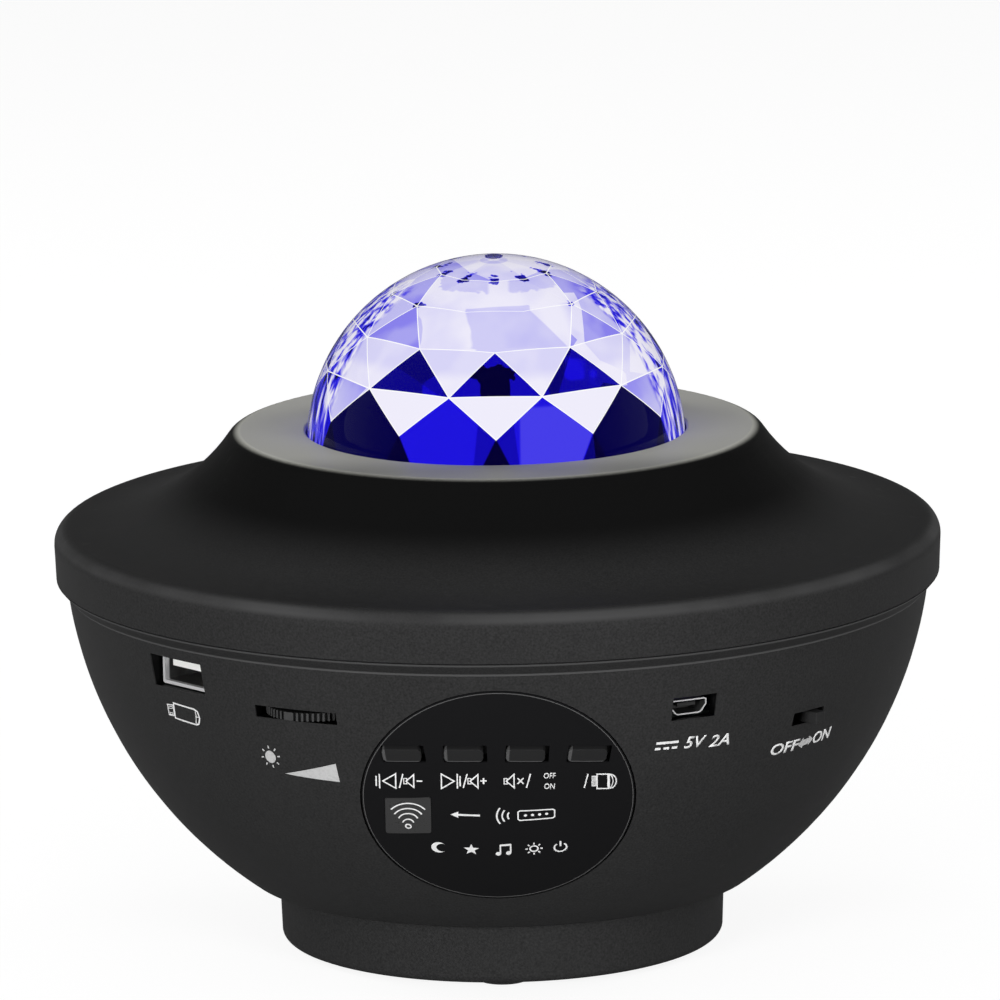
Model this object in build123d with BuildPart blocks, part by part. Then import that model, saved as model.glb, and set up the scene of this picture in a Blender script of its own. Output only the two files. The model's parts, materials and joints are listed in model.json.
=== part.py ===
from build123d import *
from math import asin, cos, degrees, pi, radians, sin, sqrt
import os

# Star night light projector: a bowl-shaped housing on a short foot, a flared top cover, a clear
# dome with facets inside it, and the lamp, laser, ripple drive and loudspeaker that they hold.
# Millimetres, +Z up, the front faces -Y, the origin is on the floor below the dome's centre.

os.makedirs("parts", exist_ok=True)

# ---- Driving dimensions of the housing ----
WALL = 2.4               # wall of every housing moulding
FOOT_LIFT = 1.0          # the rubber feet hold the foot this far off the floor
FOOT_HEIGHT = 12.5
FOOT_BASE_R = 42.1
FOOT_TOP_R = 42.6
FOOT_EDGE = 1.5          # rounding round the foot's lower edge
BOWL_STEP = 5.65         # flat ring between the foot and the bowl's lower corner
BOWL_HEIGHT = 55.85      # from the foot's top to the lip
BOWL_ARC_X = 1.0         # the bowl's side is one arc, centred this far from the axis
BOWL_CORNER = 1.2
LIP_HEIGHT = 2.5
LIP_OUT = 2.2            # the lip's reach beyond the bowl's side
BAND_HEIGHT = 9.75       # the cover's upright band, from the parting line to its top edge
BAND_EDGE = 3.2          # rounding of the cover's top edge
RIM_R = 84.4
NECK_HEIGHT = 17.8
FLARE_INSET = 2.2        # the flare turns level this far inside the rim
LEDGE_WIDTH = 14.0       # flat ledge round the dome
LEDGE_EDGE = 3.0
SPIGOT_HEIGHT = 3.0      # the bowl's tongue inside the cover
SPIGOT_WALL = 2.0
SEAM = 0.3               # running or assembly gap between housing pieces
PART_GAP = 0.25          # shadow line between the lip and the cover

# ---- The dome ----
DOME_R = 36.0
DOME_SINK = 3.2          # the dome's centre lies this far below the ledge
DOME_GAP = 0.34          # gap round the dome in the cover's hole
DOME_FLANGE_R = 39.6
DOME_FLANGE_T = 2.2
FACET_R = 33.4           # sphere on which the inner facets' corners lie
FACET_COUNT = 11
FACET_LATITUDES = (12.4, 25.5, 41.0, 56.5, 69.0)
GATE_R = 1.7             # moulding gate at the crown
GATE_HEIGHT = 0.35
DOME_RING_T = 2.0
DOME_BOSS_R = 3.0
DOME_EAR_R = 43.6        # circle of the screws that hold the dome ring

# ---- Fasteners: shank radius, length, head radius, head height ----
LONG_SCREW = (1.5, 15.0, 2.7, 2.2)
BASE_SCREW = (1.5, 10.0, 2.9, 2.0)
SMALL_SCREW = (1.1, 4.6, 2.1, 1.4)
SHORT_SCREW = (1.1, 2.8, 2.4, 1.3)
THREAD_FIT = 0.02        # how much wider a pilot hole is than its screw
SCREW_PLAY = 0.2         # how much wider a clearance hole is than its screw
BOSS_WALL = 1.6
TOWER_INSET = 4.7        # towers stand this far inside the ledge's outer edge

# ---- The lamp inside ----
CHASSIS_DROP = 12.2      # from the cover's parting line down to the chassis
CHASSIS_T = 2.0
CHASSIS_R = 38.0
SINK_R = 15.8
SINK_T = 2.0
SINK_DEPTH = 8.0
SINK_WINDOW_R = 13.8
FIN_COUNT = 6
FIN_T = 1.2
LED_BOARD_T = 1.6
LED_CIRCLE_R = 10.0
LED_SIZE = 3.1
LENS_R = 4.6
LENS_FOOT_R = 3.1
LENS_HEIGHT = 7.4
PIN_R = 1.5
PIN_COLLAR_R = 2.6
RUN_GAP = 0.05           # radial gap of a running shaft
FACE_GAP = 0.25          # gap between faces that turn past each other
DISC_RISE = 3.8          # from the cover's parting line up to the ripple disc
DISC_T = 2.4
GEAR_MODULE = 1.0
DISC_TEETH = 60
PINION_TEETH = 12
GEAR_T = 4.0
GEAR_BACKLASH = 0.12
HUB_R = 4.5
HUB_LENGTH = 6.0
LASER_Y = -23.0
LASER_R = 4.5
LASER_LENGTH = 18.0
LASER_COLLAR_R = 6.2
MOTOR_R = 8.0
MOTOR_CAN_H = 11.0
GEARBOX_H = 9.0
TURRET_H = 9.5           # raised housing on the chassis that the motor hangs in
TURRET_WALL = 1.5
MOTOR_SHAFT_R = 1.5
MOTOR_SCREW_X = 5.0

# ---- The loudspeaker in the foot ----
SPEAKER_R = 25.4
SPEAKER_SEAT_H = 1.0
SPEAKER_FLANGE_T = 1.0
CONE_R = 19.5
COIL_R = 7.0
CONE_DEPTH = 7.0
MAGNET_R = 16.0
MAGNET_T = 6.0
PLATE_T = 2.0
SPEAKER_SCREW_R = SPEAKER_R + 2.0
SPEAKER_DEPTH = 14.0     # from the flange's face to the magnet
CONE_TRAVEL = 0.6
GRILLE_HOLE_R = 1.3
GRILLE_PITCH = 5.5
GRILLE_RINGS = 3         # each ring has six more holes than the last
BASE_POST_CIRCLE_R = 33.0
PAD_R = 5.0
PAD_SINK = 0.6
PAD_CIRCLE_R = 34.0

# ---- The main board ----
BOARD_T = 1.6
MAIN_BOARD_R = 37.0
MAIN_BOARD_LIFT = 20.5   # above the foot's top
MAIN_BOARD_POST_R = 33.0
CHIP_T = 1.6
CAPACITOR_R = 3.1
CAPACITOR_H = 8.5
CONNECTOR_W = 8.0
CONNECTOR_D = 5.0
CONNECTOR_H = 6.0
CONNECTOR_WALL = 0.8
CONNECTOR_FLOOR = 1.5

# ---- The round panel on the front: latitude on the bowl's arc, below the horizontal ----
PANEL_DROP = 27.9
LABEL_R = 25.5
LABEL_X = -0.5           # the label's centre beside the panel's
LABEL_Y = 0.3
LABEL_SINK = 0.55        # depth of its recess
LABEL_T = 0.4
LABEL_GAP = 0.3          # dark line between the label and its recess
BUTTON_PITCH = 11.4
BUTTON_ROW_X = -0.75
BUTTON_ROW_Y = 12.95
BUTTON_ROW_R = 108.0     # the row bends down at both ends along this arc
BUTTON_ROW_TOP_X = -1.6  # the arc's highest point
BUTTON_W = 7.2
BUTTON_H = 2.7
BUTTON_CORNER = 0.85
BUTTON_EDGE = 0.2        # rounding of a cap's edge
BUTTON_SHIFT = -0.3      # a cap stands this far beside its hole's centre
BUTTON_HOLE_W = 8.05
BUTTON_HOLE_H = 3.6
BUTTON_HOLE_CORNER = 0.25
BUTTON_PROUD = 0.35
BUTTON_TRAVEL = 0.5
BUTTON_FLANGE = 0.7      # overhang of a button's flange beyond its hole, behind the wall
BUTTON_FLANGE_T = 1.0
STEM_W = 3.4
STEM_H = 2.6
SWITCH_SIZE = 6.0
SWITCH_BODY_T = 2.8
SWITCH_PLUNGER_R = 1.7
SWITCH_PLUNGER_H = 0.9
PANEL_BOARD_DEPTH = 14.0
PANEL_BOARD_W = 42.6
PANEL_BOARD_LOW = -8.0
PANEL_BOARD_HIGH = 17.0
PANEL_POST_X = (-6.5, 12.0)
WINDOW_X = -17.15
WINDOW_Y = -2.6
WINDOW_W = 8.67
WINDOW_H = 9.1
WINDOW_LEAN = 0.19       # rise of its level edges over their length
WINDOW_GAP = 0.1
WINDOW_T = 1.4
WINDOW_STEP = 0.8

# ---- Sockets, wheel and switch: angle round the bowl from the front, and drop below the lip ----
USB_ANGLE = -47.8
USB_DROP = 5.15
USB_W = 13.2
USB_H = 5.7
USB_LENGTH = 14.0
USB_SHEET = 0.6
USB_CUT_GAP_X = 0.55
USB_CUT_GAP_Z = 0.25
TONGUE_SETBACK = 1.4
TONGUE_W = 10.6
TONGUE_T = 1.2
TONGUE_RISE = 1.0        # the tongue's middle above the socket's
TONGUE_ROOT = 2.6        # length of the block behind the tongue
CONTACT_W = 1.0
CONTACT_T = 0.24
CONTACT_LENGTH = 7.4
MICRO_ANGLE = 26.6
MICRO_DROP = 9.05
MICRO_W = 7.6
MICRO_H = 2.8
MICRO_LENGTH = 5.6
MICRO_SHEET = 0.25
MICRO_CUT_GAP_X = 0.75
MICRO_CUT_GAP_Z = 0.85
MICRO_CUT_RISE = 0.4     # the opening's middle above the socket's
MICRO_TOP_CORNER = 0.5
MICRO_LOW_CORNER = 1.1
PORT_RECESS = 2.5        # the sockets' mouths lie this far behind the bowl's outer face
PORT_BOARD_W = 16.0
PORT_BOARD_DEPTH = 17.0
PORT_SCREW_X = 4.6
PORT_SCREW_INSET = 2.6   # from a small board's inner end
LEDGE_T = 2.2            # ledges inside the bowl that carry the small boards
WHEEL_ANGLE = -28.2
WHEEL_DROP = 9.45
WHEEL_R = 9.0
WHEEL_T = 1.5
WHEEL_PROUD = 1.2
WHEEL_TEETH = 56
GROOVE_W = 0.6
GROOVE_DEPTH = 0.5
WHEEL_MARK = -32.4       # direction of the one broad tooth
WHEEL_MARK_STEPS = 2.6   # pitches between the grooves beside it
WHEEL_SHAFT_R = 1.9
WHEEL_SLOT_W = 17.1
WHEEL_SLOT_GAP = 0.42
POT_W = 8.0
POT_D = 6.0
POT_H = 2.9
SLIDE_ANGLE = 47.0
SLIDE_DROP = 14.97
SLIDE_SLOT_W = 8.4
SLIDE_SLOT_H = 2.55
SLIDE_SLOT_RISE = 0.12   # the slot's middle above the knob's
SLIDE_KNOB_W = 2.4
SLIDE_KNOB_H = 2.1
SLIDE_KNOB_PROUD = 2.1
SLIDE_TRAVEL = 2.2
SLIDE_PLATE_W = 19.8
SLIDE_PLATE_H = 5.0
SLIDE_PLATE_T = 0.6
SLIDE_PLATE_DEPTH = 4.6  # behind the bowl's outer face
SLIDE_CASE_W = 10.5
SLIDE_CASE_D = 4.6
SLIDE_SCREW_X = 7.8

# ---- Heights and radii that follow ----
JOIN_Z = FOOT_LIFT + FOOT_HEIGHT
LIP_Z = JOIN_Z + BOWL_HEIGHT
PART_Z = LIP_Z + LIP_HEIGHT
RIM_TOP_Z = PART_Z + BAND_HEIGHT
LEDGE_Z = RIM_TOP_Z + NECK_HEIGHT
DOME_Z = LEDGE_Z - DOME_SINK
DOME_HOLE_R = sqrt(DOME_R**2 - DOME_SINK**2) + DOME_GAP
LEDGE_R = DOME_HOLE_R + LEDGE_WIDTH
LIP_R = RIM_R - 0.4
BOWL_TOP_R = LIP_R - LIP_OUT
BOWL_BASE_R = FOOT_TOP_R + BOWL_STEP
SPIGOT_R = RIM_R - WALL - SEAM
CHASSIS_Z = PART_Z - CHASSIS_DROP
DISC_Z = PART_Z + DISC_RISE
MAIN_BOARD_Z = JOIN_Z + MAIN_BOARD_LIFT
USB_Z = LIP_Z - USB_DROP
MICRO_Z = LIP_Z - MICRO_DROP
WHEEL_Z = LIP_Z - WHEEL_DROP
SLIDE_Z = LIP_Z - SLIDE_DROP

# The bowl's side is the arc through its lower corner and the foot of its lip.
_top = BOWL_TOP_R - BOWL_ARC_X
_base = BOWL_BASE_R - BOWL_ARC_X
BOWL_ARC_Z = (_top**2 - _base**2 + LIP_Z**2 - JOIN_Z**2) / (2 * BOWL_HEIGHT)
BOWL_ARC_R = sqrt(_top**2 + (BOWL_ARC_Z - LIP_Z)**2)

# The flare is the arc that turns level near the rim and meets the ledge's edge.
FLARE_X = RIM_R - FLARE_INSET
FLARE_RUN = FLARE_X - LEDGE_R
FLARE_ARC_R = (FLARE_RUN**2 + NECK_HEIGHT**2) / (2 * NECK_HEIGHT)
FLARE_ARC_Z = RIM_TOP_Z + FLARE_ARC_R

TOWER_CIRCLE_R = LEDGE_R - TOWER_INSET
CORNERS = (45, 135, 225, 315)
SIDES = (0, 90, 180, 270)


def bowl_r(z, inset=0.0):
    """Radius of the bowl's side at a height, moved inwards by an inset."""
    return BOWL_ARC_X + sqrt((BOWL_ARC_R - inset)**2 - (BOWL_ARC_Z - z)**2)


def flare_z(r, inset=0.0):
    """Height of the cover's flare at a radius, moved inwards by an inset."""
    return FLARE_ARC_Z - sqrt((FLARE_ARC_R + inset)**2 - (FLARE_X - r)**2)


def outward(angle):
    """Level direction that points out of the bowl at an angle from the front."""
    return Vector(sin(radians(angle)), -cos(radians(angle)), 0)


def sideways(angle):
    """Level direction along the bowl's surface, to the right as seen from outside."""
    return Vector(cos(radians(angle)), sin(radians(angle)), 0)


def face_plane(angle, z):
    """Upright plane on the bowl's outer face that looks level outwards."""
    point = outward(angle) * bowl_r(z) + Vector(0, 0, z)
    return Plane(origin=point, x_dir=sideways(angle), z_dir=outward(angle))


def skin_plane(angle, drop):
    """Plane that lies on the bowl's outer face and follows its slope."""
    slope = radians(drop)
    radius = BOWL_ARC_X + BOWL_ARC_R * cos(slope)
    height = BOWL_ARC_Z - BOWL_ARC_R * sin(slope)
    normal = outward(angle) * cos(slope) - Vector(0, 0, sin(slope))
    return Plane(origin=outward(angle) * radius + Vector(0, 0, height), x_dir=sideways(angle), z_dir=normal)


def level_plane(angle, z):
    """Level plane on the main axis whose y axis points inwards, away from an angle's side."""
    return Plane(origin=(0, 0, z), x_dir=sideways(angle), z_dir=(0, 0, 1))


def ring_points(radius, angles):
    """Points on a circle round the main axis."""
    return [(radius * cos(radians(a)), radius * sin(radians(a))) for a in angles]


def screw(size, recess=0.6):
    """Pan-head screw that points down, with its head's underside at the origin."""
    shank_r, length, head_r, head_h = size
    with BuildPart() as made:
        with BuildSketch(Plane.XZ):
            with BuildLine():
                Polyline((0, -length), (shank_r * 0.5, -length), (shank_r, shank_r - length), (shank_r, 0))
                Polyline((shank_r, 0), (head_r, 0), (head_r, head_h * 0.5))
                ThreePointArc((head_r, head_h * 0.5), (head_r * 0.8, head_h * 0.9), (head_r * 0.45, head_h))
                Polyline((head_r * 0.45, head_h), (0, head_h), (0, -length))
            make_face()
        revolve(axis=Axis.Z)
        with BuildSketch(Plane.XY.offset(head_h)):
            Rectangle(head_r * 1.1, head_r * 0.28)
            Rectangle(head_r * 0.28, head_r * 1.1)
        extrude(amount=-recess, mode=Mode.SUBTRACT)
    return made.part


def bowl_layer(deep, shallow):
    """Skin of the bowl between two depths below its outer face; a depth below zero stands proud."""
    low = JOIN_Z + 1.0
    high = LIP_Z - 1.0
    middle = (low + high) / 2
    outer = [(bowl_r(z, shallow), z) for z in (low, middle, high)]
    inner = [(bowl_r(z, deep), z) for z in (low, middle, high)]
    with BuildPart() as made:
        with BuildSketch(Plane.XZ):
            with BuildLine():
                ThreePointArc(*outer)
                Line(outer[2], inner[2])
                ThreePointArc(*inner)
                Line(inner[0], outer[0])
            make_face()
        revolve(axis=Axis.Z)
    return made.part


def cap_middle(half_width, rise):
    """Point halfway along the arc that rises from a half width to its crown on the axis."""
    radius = (half_width**2 + rise**2) / (2 * rise)
    return half_width / 2, rise - radius + sqrt(radius**2 - half_width**2 / 4)


def upside_down(points, z):
    """Places at a height for screws that go upwards."""
    return [Location((x, y, z), (180, 0, 0)) for x, y in points]


def toothed_outline(teeth, backlash):
    """Corners of a gear's outline, each tooth a trapezoid about the pitch circle."""
    pitch_r = GEAR_MODULE * teeth / 2
    root_r = pitch_r - 1.2 * GEAR_MODULE
    tip_r = pitch_r + 0.9 * GEAR_MODULE
    step = 360 / teeth
    root_half = degrees((0.34 * pi * GEAR_MODULE - backlash / 2) / root_r)
    tip_half = degrees((0.13 * pi * GEAR_MODULE - backlash / 2) / tip_r)
    corners = []
    for tooth in range(teeth):
        middle = tooth * step
        corners.append((root_r, middle - root_half))
        corners.append((tip_r, middle - tip_half))
        corners.append((tip_r, middle + tip_half))
        corners.append((root_r, middle + root_half))
    return [(r * cos(radians(a)), r * sin(radians(a))) for r, a in corners]


def button_spot(place):
    """Place of one of the four buttons on the panel, turned along the row's arc."""
    x = BUTTON_ROW_X + BUTTON_PITCH * (place - 1.5)
    turn = asin((BUTTON_ROW_TOP_X - x) / BUTTON_ROW_R)
    y = BUTTON_ROW_Y - BUTTON_ROW_R * (1 - cos(turn))
    return Location((x, y, 0), (0, 0, degrees(turn)))


def leaning_window(inset, corner):
    """Outline of the receiver's window, moved inwards by an inset."""
    half_w = WINDOW_W / 2 - inset
    half_h = WINDOW_H / 2 - inset
    rise = WINDOW_LEAN * half_w
    with BuildSketch() as made:
        with Locations((WINDOW_X, WINDOW_Y)):
            Polygon(
                (-half_w, -half_h - rise),
                (half_w, -half_h + rise),
                (half_w, half_h + rise),
                (-half_w, half_h - rise),
                align=None,
            )
        fillet(made.vertices(), corner)
    return made.sketch


# ---------------------------------------------------------------- planes of the fittings
BUTTON_SPOTS = [button_spot(place) for place in range(4)]
PANEL = skin_plane(0, PANEL_DROP)
USB_FACE = face_plane(USB_ANGLE, USB_Z)
MICRO_FACE = face_plane(MICRO_ANGLE, MICRO_Z)
WHEEL_FACE = face_plane(WHEEL_ANGLE, WHEEL_Z)
SLIDE_FACE = face_plane(SLIDE_ANGLE, SLIDE_Z)
WHEEL_CENTRE = bowl_r(WHEEL_Z) + WHEEL_PROUD - WHEEL_R
USB_MOUTH = bowl_r(USB_Z) - PORT_RECESS
MICRO_MOUTH = bowl_r(MICRO_Z) - PORT_RECESS
USB_BOARD_Z = USB_Z - USB_H / 2
MICRO_BOARD_Z = MICRO_Z - MICRO_H / 2
POT_TOP_Z = WHEEL_Z - WHEEL_T / 2 - 0.4
WHEEL_BOARD_Z = POT_TOP_Z - POT_H
PORT_BOARDS = {
    "usb": (USB_ANGLE, USB_BOARD_Z),
    "wheel": (WHEEL_ANGLE, WHEEL_BOARD_Z),
    "power": (MICRO_ANGLE, MICRO_BOARD_Z),
}
FOOT_FLOOR_Z = FOOT_LIFT + WALL
FLOOR_HOLE_R = SPEAKER_R + 1.6
CHASSIS_TOP_Z = CHASSIS_Z + CHASSIS_T
SINK_TOP_Z = CHASSIS_TOP_Z + SINK_T
LED_TOP_Z = SINK_TOP_Z + LED_BOARD_T
GEAR_CENTRE_Y = GEAR_MODULE * (DISC_TEETH + PINION_TEETH) / 2
TURRET_TOP_Z = CHASSIS_TOP_Z + TURRET_H
GEARBOX_TOP_Z = TURRET_TOP_Z - TURRET_WALL
DISC_HUB_Z = DISC_Z - 1.8
FLANGE_TOP_Z = LEDGE_Z - WALL
TOWER_R = LONG_SCREW[2] + 1.3
TOWER_SEAT_Z = CHASSIS_Z - 2.6


def board_edge(z):
    """Radius at which a small board's outer edge clears the bowl's inner wall."""
    inner = bowl_r(z, WALL)
    return sqrt(inner**2 - (PORT_BOARD_W / 2)**2) - 0.6


def port_screw_points(edge):
    """Places of the two screws at a small board's inner end, in its level plane."""
    screw_y = edge - PORT_BOARD_DEPTH + PORT_SCREW_INSET
    return [(-PORT_SCREW_X, -screw_y), (PORT_SCREW_X, -screw_y)]


# ================================================================ housing
with BuildPart() as base_cover:
    with BuildSketch(Plane.XZ):
        with BuildLine():
            Polyline((0, FOOT_LIFT), (FOOT_BASE_R, FOOT_LIFT), (FOOT_TOP_R, JOIN_Z))
            Polyline((FOOT_TOP_R, JOIN_Z), (FOOT_TOP_R - WALL, JOIN_Z), (FOOT_BASE_R - WALL, FOOT_FLOOR_Z))
            Polyline((FOOT_BASE_R - WALL, FOOT_FLOOR_Z), (0, FOOT_FLOOR_Z), (0, FOOT_LIFT))
        make_face()
    revolve(axis=Axis.Z)
    fillet(base_cover.edges().filter_by(GeomType.CIRCLE).group_by(Axis.Z)[0], FOOT_EDGE)
    # posts for the screws that go up into the bowl
    with BuildSketch(Plane.XY.offset(FOOT_FLOOR_Z)):
        with Locations(*ring_points(BASE_POST_CIRCLE_R, CORNERS)):
            Circle(BASE_SCREW[2] + BOSS_WALL)
        # seat ring under the loudspeaker's flange
        Circle(SPEAKER_R)
        Circle(SPEAKER_R - 2.9, mode=Mode.SUBTRACT)
    extrude(amount=SPEAKER_SEAT_H)
    with BuildSketch(Plane.XY.offset(FOOT_FLOOR_Z)):
        with Locations(*ring_points(BASE_POST_CIRCLE_R, CORNERS)):
            Circle(BASE_SCREW[2] + BOSS_WALL)
    extrude(amount=JOIN_Z - FOOT_FLOOR_Z)
    # bosses for the screws whose heads clamp the loudspeaker's flange
    with BuildSketch(Plane.XY.offset(FOOT_FLOOR_Z)):
        with Locations(*ring_points(SPEAKER_SCREW_R, SIDES)):
            Circle(SMALL_SCREW[0] + BOSS_WALL)
        Circle(SPEAKER_R + 0.2, mode=Mode.SUBTRACT)
    extrude(amount=SPEAKER_SEAT_H + SPEAKER_FLANGE_T)
    with BuildSketch(Plane.XY.offset(FOOT_FLOOR_Z - 1.2)):
        with Locations(*ring_points(SPEAKER_SCREW_R, SIDES)):
            Circle(SMALL_SCREW[0] + THREAD_FIT)
    extrude(amount=10, mode=Mode.SUBTRACT)
    # screw passages from below
    with BuildSketch(Plane.XY):
        with Locations(*ring_points(BASE_POST_CIRCLE_R, CORNERS)):
            Circle(BASE_SCREW[2] + SCREW_PLAY)
    extrude(amount=JOIN_Z - WALL, mode=Mode.SUBTRACT)
    with BuildSketch(Plane.XY):
        with Locations(*ring_points(BASE_POST_CIRCLE_R, CORNERS)):
            Circle(BASE_SCREW[0] + SCREW_PLAY)
    extrude(amount=JOIN_Z + 1, mode=Mode.SUBTRACT)
    # recesses for the rubber feet
    with BuildSketch(Plane.XY):
        with Locations(*ring_points(PAD_CIRCLE_R, SIDES)):
            Circle(PAD_R + 0.15)
    extrude(amount=FOOT_LIFT + PAD_SINK, mode=Mode.SUBTRACT)
    # grille in front of the loudspeaker
    with BuildSketch(Plane.XY):
        Circle(GRILLE_HOLE_R)
        for ring in range(1, GRILLE_RINGS + 1):
            with PolarLocations(ring * GRILLE_PITCH, 6 * ring):
                Circle(GRILLE_HOLE_R)
    extrude(amount=FOOT_FLOOR_Z + 0.5, mode=Mode.SUBTRACT)
base_cover.part.label = "base_cover"
export_step(base_cover.part, "parts/base_cover.step")

with BuildPart() as rubber_feet:
    with BuildSketch(Plane.XY):
        with Locations(*ring_points(PAD_CIRCLE_R, SIDES)):
            Circle(PAD_R)
    extrude(amount=FOOT_LIFT + PAD_SINK)
    fillet(rubber_feet.edges().group_by(Axis.Z)[0], 0.4)
rubber_feet.part.label = "rubber_feet"
export_step(rubber_feet.part, "parts/rubber_feet.step")

with BuildPart() as base_screws:
    with Locations(*upside_down(ring_points(BASE_POST_CIRCLE_R, CORNERS), JOIN_Z - WALL)):
        add(screw(BASE_SCREW))
base_screws.part.label = "base_screws"
export_step(base_screws.part, "parts/base_screws.step")

label_recess = bowl_layer(LABEL_SINK, -2.0)
window_recess = bowl_layer(WINDOW_T, -2.0)

with BuildPart() as panel_cut:
    add(label_recess)
    with BuildSketch(PANEL):
        with Locations((LABEL_X, LABEL_Y)):
            Circle(LABEL_R)
    extrude(amount=30, both=True, mode=Mode.INTERSECT)

with BuildPart() as window_cut:
    add(window_recess)
    with BuildSketch(PANEL):
        add(leaning_window(0, 0.4))
    extrude(amount=30, both=True, mode=Mode.INTERSECT)

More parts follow.
